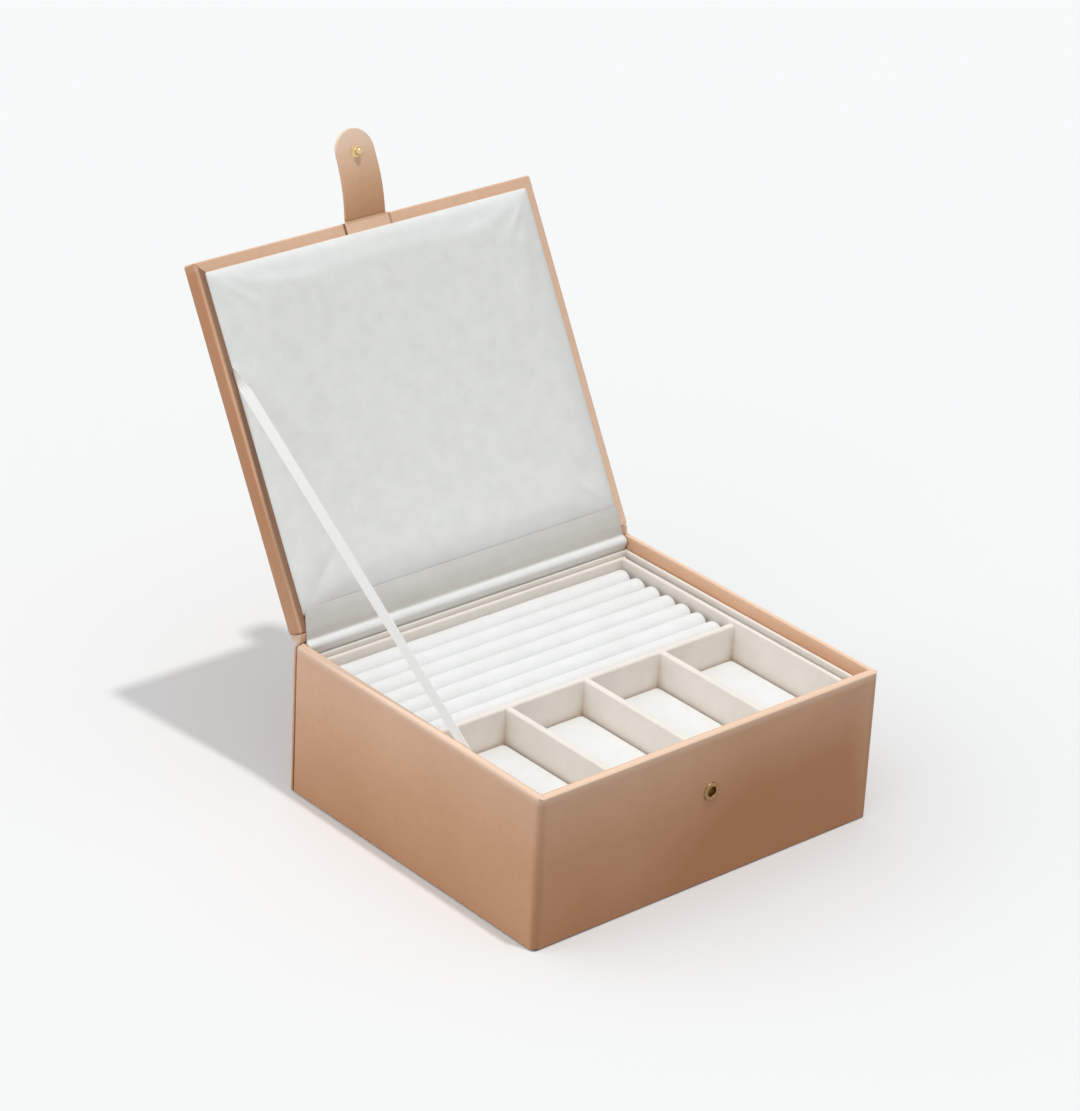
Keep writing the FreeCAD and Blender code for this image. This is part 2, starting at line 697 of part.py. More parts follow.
def compartment_edges():
    """The low and high x of each compartment, left to right."""
    inner_x = TRAY_X - TRAY_WALL
    width = (2 * inner_x - (COMPARTMENTS - 1) * DIVIDER) / COMPARTMENTS
    starts = [-inner_x + index * (width + DIVIDER) for index in range(COMPARTMENTS)]
    return [(start, start + width) for start in starts]


def long_divider():
    """The divider between the rings and the compartments."""
    inner_x = TRAY_X - TRAY_WALL
    y0 = LONG_DIVIDER_Y - DIVIDER / 2
    return wrapped_board(-inner_x, inner_x, y0, y0 + DIVIDER, TRAY_FLOOR, TRAY_TOP - DIVIDER_DROP)


def short_divider(x0):
    """A divider between two compartments, from its low x."""
    y0 = TRAY_FRONT_Y + TRAY_WALL
    y1 = LONG_DIVIDER_Y - DIVIDER / 2
    return wrapped_board(x0, x0 + DIVIDER, y0, y1, TRAY_FLOOR, TRAY_TOP - DIVIDER_DROP)


def compartment_pad(x0, x1):
    """The soft floor pad of one compartment, a little short of its walls."""
    y0 = TRAY_FRONT_Y + TRAY_WALL + COMPARTMENT_PAD_GAP
    y1 = LONG_DIVIDER_Y - DIVIDER / 2 - COMPARTMENT_PAD_GAP
    gap = COMPARTMENT_PAD_GAP
    top = TRAY_FLOOR + COMPARTMENT_PAD
    pad = block(x0 + gap, x1 - gap, y0, y1, TRAY_FLOOR, top)
    return round_at_height(pad, top, COMPARTMENT_PAD / 2)


def ring_roll(y0, y1):
    """A padded roll that grips rings against its neighbour: upright sides, round top."""
    half_x = TRAY_X - TRAY_WALL - ROLL_END_GAP
    radius = (y1 - y0) / 2
    top = TRAY_TOP - ROLL_DROP
    shoulder = top - radius
    left = [yz(-half_x, y0, TRAY_FLOOR), yz(-half_x, y0, shoulder)]
    right = [yz(-half_x, y1, shoulder), yz(-half_x, y1, TRAY_FLOOR)]
    crown = yz(-half_x, y0 + radius, top)
    outline = Part.Wire([
        Part.makeLine(left[0], left[1]),
        Part.Arc(left[1], crown, right[0]).toShape(),
        Part.makeLine(right[0], right[1]),
        Part.makeLine(right[1], left[0]),
    ])
    roll = extrude_yz(outline, half_x)
    ends = [e for e in roll.Edges if e.BoundBox.XLength < 0.01 and e.BoundBox.ZMax > top - 0.01]
    return roll.makeChamfer(ROLL_END_SLOPE, ends)


def ring_rolls():
    """All rolls, from the back of the tray to the long divider."""
    rolls = []
    for index in range(ROLL_COUNT):
        high = TRAY_BACK_Y - TRAY_WALL - index * ROLL_PITCH - ROLL_GAP / 2
        rolls.append(ring_roll(high - ROLL_PITCH + ROLL_GAP, high))
    return rolls


def save(name, shape):
    """Write one piece as its own file."""
    if not shape.isValid():
        print("not valid:", name)
    solids = shape.Solids
    piece = solids[0] if len(solids) == 1 else Part.makeCompound(solids)
    piece.exportStep(os.path.join(PARTS_FOLDER, name + ".step"))
    print(name, "solids", len(solids), "volume", round(sum(s.Volume for s in solids), 1))


def save_box():
    """Write the pieces that stay with the box."""
    save("base_cover", base_cover())
    save("base_board", base_board())
    save("floor_pad", floor_pad())
    save("front_board", front_board())
    save("back_board", back_board())
    save("left_board", side_board(-1))
    save("right_board", side_board(1))
    save("side_wrap", side_wrap().cut(socket_bore(SOCKET_BARREL_RADIUS)))
    save("back_panel", back_panel())
    save("hinge_leather", hinge_leather())
    save("hinge_lining", hinge_lining())
    save("liner_left", liner(-LINER_X, -WELL_X, LINER_FRONT_Y, LINER_BACK_Y))
    save("liner_right", liner(WELL_X, LINER_X, LINER_FRONT_Y, LINER_BACK_Y))
    save("liner_front", liner(-WELL_X, WELL_X, LINER_FRONT_Y, WELL_FRONT_Y))
    save("liner_back", liner(-WELL_X, WELL_X, WELL_BACK_Y, LINER_BACK_Y))
    save("tray_ledge_left", tray_ledge(-1))
    save("tray_ledge_right", tray_ledge(1))
    save("snap_socket", snap_socket())
    save("socket_rivet", socket_rivet())
    save("stay_ribbon", stay_ribbon())


def save_lid():
    """Write the pieces that turn with the lid, and those of its strap."""
    save("lid_board", opened(lid_board_closed()))
    save("lid_leather", lid_leather())
    save("lid_pad_card", lid_pad_card())
    save("lid_lining", lid_lining())
    save("strap_tongue", strap_tongue())
    save("strap_face", strap_face())
    save("strap_lining", strap_lining())
    save("snap_stud", snap_stud())
    save("stud_cap", stud_cap())


def save_tray():
    """Write the pieces that lift out with the tray."""
    save("tray_base", tray_base())
    for side, wall in tray_walls().items():
        save("tray_wall_" + side, wall)
    save("long_divider", long_divider())
    spaces = compartment_edges()
    for index, (x0, x1) in enumerate(spaces, 1):
        save("compartment_pad_%d" % index, compartment_pad(x0, x1))
        if index < len(spaces):
            save("short_divider_%d" % index, short_divider(x1))
    for index, roll in enumerate(ring_rolls(), 1):
        save("ring_roll_%d" % index, roll)


os.makedirs(PARTS_FOLDER, exist_ok=True)
save_box()
save_lid()
save_tray()
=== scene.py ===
# %% [markdown]
# An open leather jewelry box, dressed for its portrait.
# The hard pieces come from a packed CAD model. This lesson gives them their finishes and makes every
# soft piece anew: leather over board, padded linings, rolls for rings, a ribbon and a strap.
# First the model is loaded.

# %% Load the model
import math
from functools import partial
import bmesh
import bpy
from mathutils import Matrix, Vector, noise


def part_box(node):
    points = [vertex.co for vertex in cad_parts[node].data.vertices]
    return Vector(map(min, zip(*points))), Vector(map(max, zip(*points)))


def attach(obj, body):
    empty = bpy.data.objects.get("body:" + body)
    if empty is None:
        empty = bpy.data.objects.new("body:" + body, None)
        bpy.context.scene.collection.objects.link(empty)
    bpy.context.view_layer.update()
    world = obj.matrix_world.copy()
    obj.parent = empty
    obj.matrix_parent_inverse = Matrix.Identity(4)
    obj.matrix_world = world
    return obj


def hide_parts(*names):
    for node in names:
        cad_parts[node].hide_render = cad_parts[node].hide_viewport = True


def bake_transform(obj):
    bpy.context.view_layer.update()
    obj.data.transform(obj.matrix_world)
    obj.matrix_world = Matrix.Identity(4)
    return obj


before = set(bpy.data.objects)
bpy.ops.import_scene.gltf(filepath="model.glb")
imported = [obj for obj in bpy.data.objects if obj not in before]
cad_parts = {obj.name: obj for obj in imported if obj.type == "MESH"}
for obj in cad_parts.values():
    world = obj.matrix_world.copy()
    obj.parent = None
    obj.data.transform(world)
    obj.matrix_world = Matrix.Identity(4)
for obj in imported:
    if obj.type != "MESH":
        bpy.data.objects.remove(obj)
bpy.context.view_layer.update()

# %% [markdown]
# Blender works in metres here, and leather work is measured in millimetres, so one small helper turns
# one into the other. Another turns a colour picked as sRGB hex into the linear values of the shaders.

# %% Units and colours
def mm(*values):
    """Millimetres to metres: one value, or a vector of three."""
    return values[0] / 1000 if len(values) == 1 else Vector(values) / 1000


def tone(code):
    """An sRGB hex colour as linear RGBA."""
    parts = [int(code[i:i + 2], 16) / 255 for i in (1, 3, 5)]
    return [c / 12.92 if c <= 0.04045 else ((c + 0.055) / 1.055) ** 2.4 for c in parts] + [1.0]


def clamp(share):
    """A share kept between 0 and 1."""
    return min(1, max(0, share))


print("mid grey is", round(tone("#808080")[0], 3))

# %% [markdown]
# A few sizes come back in many places. The box is centred left to right, stands on the floor and has
# its front towards -Y. The lid's sizes are those of the closed lid.

# %% Main sizes
BOX_HALF = mm(100)
BOX_FRONT = mm(-86.5)
LID_HALF = mm(98.5)
LID_FRONT = mm(-88)
LID_BACK = mm(85)
LID_UNDER = mm(76.3)
LID_TOP = mm(84.7)
print("box", BOX_HALF * 2, "m wide, lid", LID_HALF * 2)

# %% [markdown]
# The lid was made closed and then turned open about its hinge, and the strap was bent a little more
# about its root. The same two turns place the soft pieces, which are also easier to make lying flat.

# %% Opening the lid
HINGE = mm(0, 86.1, 78.8)
STRAP_ROOT = mm(0, -89.2, 76.8)
OPEN = math.radians(-119)
STRAP_BEND = math.radians(12)


def turn(point, angle):
    """A turn about an axis along X through a point, as a matrix."""
    return Matrix.Translation(point) @ Matrix.Rotation(angle, 4, "X") @ Matrix.Translation(-point)


LID_OPEN = turn(HINGE, OPEN)
STRAP_OPEN = LID_OPEN @ turn(STRAP_ROOT, STRAP_BEND)
root = LID_OPEN @ STRAP_ROOT
print("strap root, open:", [round(v * 1000, 1) for v in root])

# %% [markdown] A mesh is built in a bmesh, and this helper turns it into an object at the origin,
# smooth except at real edges, that rides on one body of the model.

# %% From a bmesh to a piece
def mesh_from(bm, name):
    """A mesh with what the bmesh holds, which is then freed."""
    mesh = bpy.data.meshes.new(name)
    bm.to_mesh(mesh)
    bm.free()
    return mesh


def put(name, data):
    """An object with this data, put in the scene."""
    made = bpy.data.objects.new(name, data)
    bpy.context.scene.collection.objects.link(made)
    return made


def piece(name, bm, material, body=None, place=None, sharp=40, stands_for=()):
    """Make the object, put its mesh in place, and let it ride on its body."""
    bmesh.ops.recalc_face_normals(bm, faces=bm.faces)
    mesh = mesh_from(bm, name)
    if place is not None:
        mesh.transform(place)
    mesh.polygons.foreach_set("use_smooth", [True] * len(mesh.polygons))
    mesh.set_sharp_from_angle(angle=math.radians(sharp))
    mesh.materials.append(material)
    made = put(name, mesh)
    if body:
        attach(made, body)
    if stands_for:
        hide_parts(*stands_for)
    print(name, "faces", len(mesh.polygons))
    return made


def subdivide(made, levels):
    """A live Subdivision Surface with the same levels in view and render."""
    modifier = made.modifiers.new("subdivision", "SUBSURF")
    modifier.levels = levels
    modifier.render_levels = levels


# %% [markdown]
# Each finish is a small network of shader nodes. One function adds a node, sets its sockets or
# properties by name, and links its inputs. Where a link comes from a node's first output, the node
# itself can be given. A new material comes with that function, its own node tree already filled in.

# %% Adding a shader node
TIMES = {"operation": "MULTIPLY"}
PLUS = {"operation": "ADD"}
LARGER = {"operation": "MAXIMUM"}


def add_node(tree, kind, settings, links=()):
    """One node with its settings and the links into it."""
    made = tree.nodes.new("ShaderNode" + kind)
    for name, value in settings.items():
        if isinstance(name, int) or name in made.inputs:
            made.inputs[name].default_value = value
        else:
            setattr(made, name, value)
    for name, source in dict(links).items():
        socket = source.outputs[0] if isinstance(source, bpy.types.Node) else source
        tree.links.new(socket, made.inputs[name])
    return made


def new_material(name):
    """An empty material, and the function that adds a node to it."""
    made = bpy.data.materials.new(name)
    made.use_nodes = True
    made.node_tree.nodes.clear()
    return made, partial(add_node, made.node_tree)


def dress(names, material):
    """Give CAD nodes a material."""
    for name in names:
        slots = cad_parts[name].data.materials
        slots.clear()
        slots.append(material)


print("nodes are added by", add_node.__name__)

# %% [markdown]
# Light and shade are painted into the leather's colour. Each part of the box gets three masks from 0 to
# 1, deep, pale and dark, worked out from the place on the object. Deep is painted shade, pale a painted
# highlight, and dark painted shade in small places. On the walls the painted shade is deepest to the
# right of the front and at their foot.

# %% Masks of the walls
def distances(add, at, half, front):
    """Nodes for the distance in from the sides and from the front, and the separate axes."""
    axes = add("SeparateXYZ", {}, {0: at})
    out = add("Math", {"operation": "ABSOLUTE"}, {0: axes.outputs["X"]})
    from_side = add("Math", {"operation": "SUBTRACT", 0: half}, {1: out})
    from_front = add("Math", {"operation": "ADD", 1: -front}, {0: axes.outputs["Y"]})
    return axes, from_side, from_front


def wall_painted_light(add, at):
    """Walls: painted shade to the right of the front, at the foot and inside, a painted highlight on the
    rim, painted shade on the corners.
    """
    axes, from_side, from_front = distances(add, at, BOX_HALF, BOX_FRONT)
    across, height = axes.outputs["X"], axes.outputs["Z"]
    # Deep, painted shade: rightward on the front, forward on the sides, and inside, where the skin is
    # turned in.
    on_front = add("MapRange", {"From Min": mm(3), "From Max": mm(1)}, {0: from_front})
    elsewhere = add("Math", {"operation": "SUBTRACT", 0: 1.0}, {1: on_front})
    rightward = add("MapRange", {"interpolation_type": "SMOOTHSTEP", "From Min": mm(-105),
                                 "From Max": mm(35), "To Max": 0.64}, {0: across})
    front = add("Math", TIMES, {0: on_front, 1: rightward})
    forward = add("MapRange", {"From Min": mm(175), "From Max": mm(10), "To Min": 0.05, "To Max": 0.24},
                  {0: from_front})
    walls = add("Math", LARGER, {0: front, 1: forward})
    nearest = add("Math", {"operation": "MINIMUM"}, {0: from_side, 1: from_front})
    turned_in = add("MapRange", {"From Min": mm(2.6), "From Max": mm(3.4), "To Max": 0.5}, {0: nearest})
    before_back = add("MapRange", {"From Min": mm(168), "From Max": mm(166)}, {0: from_front})
    turned_in = add("Math", TIMES, {0: turned_in, 1: before_back})
    walls = add("Math", LARGER, {0: walls, 1: turned_in})
    # The foot gets painted shade too, less so beside the near corners; at the front's right end all the
    # painted shade is lighter, as a lit edge.
    foot = add("MapRange", {"interpolation_type": "SMOOTHSTEP", "From Min": mm(72), "From Max": mm(-8),
                            "To Max": 0.58}, {0: height})
    near = add("MapRange", {"From Min": mm(70), "From Max": mm(8), "To Max": 0.5}, {0: from_front})
    near = add("Math", TIMES, {0: near, 1: elsewhere})
    less = add("Math", {"operation": "SUBTRACT", 0: 1.0}, {1: near})
    foot = add("Math", TIMES, {0: foot, 1: less})
    deep = add("Math", PLUS, {0: walls, 1: foot})
    right_end = add("MapRange", {"From Min": BOX_HALF, "From Max": mm(84), "To Min": 0.45}, {0: across})
    right_end = add("Math", LARGER, {0: right_end, 1: elsewhere})
    deep = add("Math", TIMES, {0: deep, 1: right_end})
    # Pale, a painted highlight: the upper part and the fold over the rim.
    upper = add("MapRange", {"interpolation_type": "SMOOTHSTEP", "From Min": mm(34), "From Max": mm(80),
                             "To Max": 0.26}, {0: height})
    fold = add("MapRange", {"From Min": mm(71.5), "From Max": mm(75.2), "To Max": 0.5}, {0: height})
    pale = add("Math", PLUS, {0: upper, 1: fold})
    outside = add("MapRange", {"From Min": mm(3.2), "From Max": mm(2.2), "To Min": 0.45}, {0: nearest})
    pale = add("Math", TIMES, {0: pale, 1: outside})
    # Dark, painted shade: on the corners, and in a notch in the fold above each.
    corner = add("Math", PLUS, {0: from_side, 1: from_front})
    painted_corner_shade = add("MapRange", {"From Min": mm(4.4), "From Max": mm(1.6), "To Max": 0.2}, {0: corner})
    below = add("MapRange", {"From Min": mm(75.2), "From Max": mm(72)}, {0: height})
    painted_corner_shade = add("Math", TIMES, {0: painted_corner_shade, 1: below})
    notch = add("MapRange", {"From Min": mm(1.7), "From Max": mm(0.8), "To Max": 0.6}, {0: corner})
    high = add("MapRange", {"From Min": mm(73), "From Max": mm(74)}, {0: height})
    notch = add("Math", TIMES, {0: notch, 1: high})
    dark = add("Math", LARGER, {0: painted_corner_shade, 1: notch})
    return deep, pale, dark


print(wall_painted_light.__doc__)

# %% [markdown]
# The lid gets painted shade in the border on the ribbon's side and in the slits beside the strap's
# tongue, a dark line at its corner's mitre, and a painted highlight on its front edge and the other
# border. A
# Mapping node turns each place back about the hinge first, so that its masks are worked out on the closed
# lid.

# %% Masks of the lid
TONGUE_HALF = mm(12.5)
BORDER = mm(9)


def lid_painted_light_and_mitre(add, at):
    """Lid: deeper sides, painted shade in the left border with a line at its mitre, a painted highlight
    on the border opposite.
    """
    back = Matrix.Rotation(-OPEN, 4, "X")
    closed = add("Mapping", {"Rotation": (-OPEN, 0, 0), "Location": HINGE - back @ HINGE}, {"Vector": at})
    axes, from_side, from_front = distances(add, closed, LID_HALF, LID_FRONT)
    inside = add("MapRange", {"From Min": mm(77.4), "From Max": mm(77.0)}, {0: axes.outputs["Z"]})
    left = add("Math", {"operation": "LESS_THAN", 1: 0.0}, {0: axes.outputs["X"]})
    past_mitre = add("Math", {"operation": "SUBTRACT"}, {0: from_front, 1: from_side})
    side_border = add("MapRange", {"From Min": mm(-0.2), "From Max": mm(0.3)}, {0: past_mitre})
    # Deep: the lid's narrow sides, less towards the hinge.
    side = add("MapRange", {"From Min": mm(0.9), "From Max": mm(0.3), "To Max": 0.9}, {0: from_side})
    forward = add("MapRange", {"From Min": mm(175), "From Max": mm(90), "To Min": 0.6}, {0: from_front})
    deep = add("Math", TIMES, {0: side, 1: forward})
    # Pale, a painted highlight: the front edge and the border on the right.
    pale = add("MapRange", {"From Min": mm(5), "From Max": mm(3), "To Max": 0.15}, {0: from_front})
    right = add("Math", {"operation": "MULTIPLY_ADD", 1: -0.4, 2: 0.4}, {0: left})
    right = add("Math", TIMES, {0: right, 1: side_border})
    right = add("Math", TIMES, {0: right, 1: inside})
    pale = add("Math", LARGER, {0: pale, 1: right})
    # Dark: painted shade in the left border and in the slits on both sides of the strap's tongue, and the
    # line at its mitre.
    beside_lining = add("MapRange", {"From Min": mm(1.2), "From Max": mm(2.6), "To Max": 0.75},
                        {0: from_side})
    border = add("Math", TIMES, {0: side_border, 1: beside_lining})
    off_mitre = add("Math", {"operation": "ABSOLUTE"}, {0: past_mitre})
    mitre = add("MapRange", {"From Min": mm(0.4), "From Max": mm(0.1), "To Max": 0.7}, {0: off_mitre})
    dark = add("Math", LARGER, {0: border, 1: mitre})
    dark = add("Math", TIMES, {0: dark, 1: left})
    along = add("Math", {"operation": "ABSOLUTE"}, {0: axes.outputs["X"]})
    off_slit = add("Math", {"operation": "SUBTRACT", 1: TONGUE_HALF + mm(0.5)}, {0: along})
    off_slit = add("Math", {"operation": "ABSOLUTE"}, {0: off_slit})
    slit = add("MapRange", {"From Min": mm(1.1), "From Max": mm(0.5), "To Max": 0.9}, {0: off_slit})
    slit_side = add("Math", {"operation": "MULTIPLY_ADD", 1: 0.5, 2: 0.5}, {0: left})
    slit = add("Math", TIMES, {0: slit, 1: slit_side})
    in_border = add("Math", {"operation": "LESS_THAN", 1: BORDER}, {0: from_front})
    slit = add("Math", TIMES, {0: slit, 1: in_border})
    dark = add("Math", LARGER, {0: dark, 1: slit})
    dark = add("Math", TIMES, {0: dark, 1: inside})
    return deep, pale, dark


print(lid_painted_light_and_mitre.__doc__)

# %% [markdown]
# The strap stands up on the open lid, so height alone tells how far along it a place is. Its masks
# run up from its root.

# %% Masks of the strap
def strap_painted_light_and_tongue(add, at):
    """Strap: a painted highlight where it leans back at its tip, painted shade towards the fold at its
    root with a darker painted line on the fold, and a paler tongue.
    """
    height = add("SeparateXYZ", {}, {0: at}).outputs["Z"]
    # Painted shade, deeper towards the root, where the strap turns to face down.
    base = add("MapRange", {"From Min": root.z + mm(18), "From Max": root.z, "To Max": 0.8}, {0: height})
    free = add("MapRange", {"From Min": root.z - mm(1), "From Max": root.z}, {0: height})
    deep = add("Math", TIMES, {0: base, 1: free})
    # A painted highlight towards the tip, which leans back; the tongue below the root is paler leather.
    tip = add("MapRange", {"From Min": root.z + mm(18), "From Max": root.z + mm(36), "To Max": 0.85},
              {0: height})
    tongue = add("MapRange", {"From Min": root.z - mm(0.3), "From Max": root.z - mm(1.2), "To Max": 0.35},
                 {0: height})
    pale = add("Math", PLUS, {0: tip, 1: tongue})
    # Painted shade in a narrow line on the fold at the root.
    above = add("Math", {"operation": "SUBTRACT", 1: root.z}, {0: height})
    away = add("Math", {"operation": "ABSOLUTE"}, {0: above})
    dark = add("MapRange", {"From Min": mm(0.8), "From Max": mm(0.1), "To Max": 0.4}, {0: away})
    return deep, pale, dark


print(strap_painted_light_and_tongue.__doc__)

# %% [markdown]
# The leather is calfskin, dyed through and given a satin finish. The eye sees three things: a soft
# cloudiness of the dye over a few centimetres, a fine pebble grain, and highlights that are broad
# because the finish isn't glossy. Grain cells on calf are about 0.5 mm across; they are drawn at
# 0.9 mm so that they still show in a picture of the whole box. The fold at the hinge gets darker
# colours than the rest, painted shade for where it lies in shadow behind the lid.

# %% Leather
def leather(name, light, deep_shade_and_dye_tone, shade_and_tone_masks):
    """Satin calfskin. The last argument gives its deep, pale and dark masks, mostly painted light and
    shade.
    """
    made, add = new_material(name)
    at = add("TexCoord", {}).outputs["Object"]
    deep, pale, dark = shade_and_tone_masks(add, at)
    clouds = add("TexNoise", {"Scale": 1 / mm(60), "Detail": 2.0, "Roughness": 0.45}, {"Vector": at})
    cloudy = add("MapRange", {"From Min": 0.35, "From Max": 0.65, "To Max": 0.18},
                 {0: clouds.outputs["Fac"]})
    # The deep tone stands for painted shade, with the dye's real clouds added on top.
    depth = add("Math", {"operation": "ADD", "use_clamp": True}, {0: deep, 1: cloudy})
    base = add("MixRGB", {"Color1": tone(light), "Color2": tone(deep_shade_and_dye_tone)}, {"Fac": depth})
    flecks = add("TexNoise", {"Scale": 1 / mm(4), "Detail": 4.0}, {"Vector": at})
    fleck_mask = add("MapRange", {"From Min": 0.4, "From Max": 0.8, "To Max": 0.16},
                     {0: flecks.outputs["Fac"]})
    colour = add("MixRGB", {"Color2": tone("#C08A63")}, {"Fac": fleck_mask, "Color1": base})
    # The pale tone is a painted highlight, and the strap tongue's paler leather; the dark tone is painted
    # shade, and the lid's mitre line.
    colour = add("MixRGB", {"Color2": tone("#F5DAC2")}, {"Fac": pale, "Color1": colour})
    colour = add("MixRGB", {"Color2": tone("#6E452C")}, {"Fac": dark, "Color1": colour})
    grain = add("TexVoronoi", {"Scale": 1 / mm(0.9), "feature": "DISTANCE_TO_EDGE"}, {"Vector": at})
    cells = add("MapRange", {"From Max": 0.25}, {0: grain.outputs["Distance"]})
    pores = add("TexNoise", {"Scale": 1 / mm(1.6), "Detail": 5.0}, {"Vector": at})
    height = add("Math", {"operation": "MULTIPLY_ADD", 1: 0.3}, {0: cells, 2: pores.outputs["Fac"]})
    fine = add("Bump", {"Strength": 0.2, "Distance": mm(0.1)}, {"Height": height})
    sunk = add("Bump", {"Strength": 0.6, "Distance": mm(0.3), "invert": True},
               {"Height": dark, "Normal": fine})
    gloss = add("MapRange", {"To Min": 0.36, "To Max": 0.5}, {0: pores.outputs["Fac"]})
    surface = add("BsdfPrincipled", {"IOR": 1.5, "Specular IOR Level": 0.4},
                  {"Base Color": colour, "Roughness": gloss, "Normal": sunk})
    add("OutputMaterial", {}, {"Surface": surface})
    return made


wall_leather = leather("calf_leather_walls", "#EDBE9A", "#C58A60", wall_painted_light)
lid_calf = leather("calf_leather_lid", "#E6BC9C", "#C98F66", lid_painted_light_and_mitre)
strap_calf = leather("calf_leather_strap", "#E4B894", "#CC946A", strap_painted_light_and_tongue)
# The hinge fold: the same leather in darker colours, painted shade.
shaded_hinge_calf = leather("calf_leather_hinge_shaded", "#C9946C", "#A87046", wall_painted_light)
print("leather finishes:", [m.name for m in bpy.data.materials if "leather" in m.name])

# %% [markdown]
# The linings are microsuede, a brushed cloth of very fine fibres. It has no visible weave, only a soft
# nap that lies this way and that, a little lighter where it catches the light. The white one covers
# what touches the jewelry, and a creamier one the boards of the tray.

# %% Microsuede
def microsuede(name, light, deep, nap_mm, cloud_mm, sheen, painted_crevice_shade=0.0, fold=0.0):
    """Brushed microfibre cloth. The last two give painted shade: in its inner corners, and on the part
    down in the lid's fold.
    """
    made, add = new_material(name)
    at = add("TexCoord", {}).outputs["Object"]
    clouds = add("TexNoise", {"Scale": 1 / mm(cloud_mm), "Detail": 4.0, "Roughness": 0.6}, {"Vector": at})
    nap = add("TexNoise", {"Scale": 1 / mm(nap_mm), "Detail": 6.0, "Roughness": 0.7}, {"Vector": at})
    mixed = add("Math", {"operation": "MULTIPLY_ADD", 1: 0.5},
                {0: nap.outputs["Fac"], 2: clouds.outputs["Fac"]})
    ramp = add("MapRange", {"From Min": 0.5, "From Max": 1.0}, {0: mixed})
    colour = add("MixRGB", {"Color1": tone(deep), "Color2": tone(light)}, {"Fac": ramp})
    if painted_crevice_shade:
        # Painted shade: the cloth is made warmer and darker in its inner corners, found by ambient
        # occlusion.
        inner = add("AmbientOcclusion", {"Distance": mm(7), "samples": 6})
        corner = add("MapRange", {"From Min": 0.75, "From Max": 0.3, "To Max": painted_crevice_shade},
                     {0: inner.outputs["AO"]})
        height = add("SeparateXYZ", {}, {0: at}).outputs["Z"]
        low = add("MapRange", {"From Min": mm(63), "From Max": mm(58)}, {0: height})
        corner = add("Math", TIMES, {0: corner, 1: low})
        colour = add("MixRGB", {"Color2": tone("#B98F6C")}, {"Fac": corner, "Color1": colour})
    if fold:
        # Painted shade: the lining is made grey and warmer where it goes down between the lid and the
        # roll at the rim, in soft bands along it, and under the roll.
        height = add("SeparateXYZ", {}, {0: at}).outputs["Z"]
        down = add("MapRange", {"interpolation_type": "SMOOTHSTEP", "From Min": mm(103),
                                "From Max": mm(78), "To Max": fold}, {0: height})
        long_way = add("Mapping", {"Scale": (0.05, 1.0, 1.0)}, {"Vector": at})
        painted_crease_shade = add("TexNoise", {"Scale": 1 / mm(4.5), "Detail": 2.0}, {"Vector": long_way})
        crease_shade_amount = add("Math", {"operation": "MULTIPLY_ADD", 1: 0.7, 2: 0.65}, {0: painted_crease_shade.outputs["Fac"]})
        down = add("Math", TIMES, {0: down, 1: crease_shade_amount})
        roll = add("MapRange", {"From Min": mm(76.9), "From Max": mm(77.8)}, {0: height})
        shade = add("Math", TIMES, {0: down, 1: roll})
        under = add("MapRange", {"From Min": mm(75.2), "From Max": mm(73.5), "To Max": 0.3}, {0: height})
        shade = add("Math", LARGER, {0: shade, 1: under})
        colour = add("MixRGB", {"Color2": tone("#A59789")}, {"Fac": shade, "Color1": colour})
    bump = add("Bump", {"Strength": 0.3, "Distance": mm(0.08)}, {"Height": mixed})
    surface = add("BsdfPrincipled", {"Roughness": 0.85, "IOR": 1.45, "Specular IOR Level": 0.2,
                                     "Sheen Weight": sheen, "Sheen Roughness": 0.4},
                  {"Base Color": colour, "Normal": bump})
    add("OutputMaterial", {}, {"Surface": surface})
    return made


white_suede = microsuede("microsuede_white", "#F0F1F0", "#E9EAE8", 0.8, 14, 0.1)
lid_suede = microsuede("microsuede_lid_lining", "#F2F4F2", "#E9EBE9", 0.9, 9, 0.12, fold=0.55)
cream_suede = microsuede("microsuede_cream", "#F1EBE3", "#E9E2D9", 0.8, 18, 0.1, painted_crevice_shade=0.35)
print("cloth finishes:", [m.name for m in bpy.data.materials if "suede" in m.name])

# %% [markdown]
# A few quiet finishes: satin ribbon with its fine ribs, felt under the base, greyboard inside the
# walls and white card under the lid's lining, where only an edge could ever show, polished brass for
# the strap's stud and cap, and a duller, browner brass for the socket.

# %% Ribbon, felt, board and brass
def simple(name, colour, deep, grain_mm, bump_mm, settings):
    """A finish with one noise for both its colour and its relief."""
    made, add = new_material(name)
    at = add("TexCoord", {}).outputs["Object"]
    grain = add("TexNoise", {"Scale": 1 / mm(grain_mm), "Detail": 5.0}, {"Vector": at})
    mixed = add("MixRGB", {"Color1": tone(deep), "Color2": tone(colour)}, {"Fac": grain.outputs["Fac"]})
    bump = add("Bump", {"Strength": 0.3, "Distance": mm(bump_mm)}, {"Height": grain.outputs["Fac"]})
    surface = add("BsdfPrincipled", settings, {"Base Color": mixed, "Normal": bump})
    add("OutputMaterial", {}, {"Surface": surface})
    return made


felt = simple("wool_felt", "#B08A6C", "#8E6A50", 0.7, 0.2, {"Roughness": 0.95, "Sheen Weight": 0.2})
greyboard = simple("greyboard", "#A39A8C", "#857C70", 1.5, 0.05, {"Roughness": 0.9})
white_card = simple("white_card", "#E4E1DA", "#D6D2CA", 2.0, 0.02, {"Roughness": 0.8})
aged_brass = simple("aged_brass", "#B8976A", "#70583A", 1.0, 0.02, {"Metallic": 1.0, "Roughness": 0.34})
brass = simple("polished_brass", "#EBD3A3", "#D6B77F", 1.2, 0.01, {"Metallic": 1.0, "Roughness": 0.24})


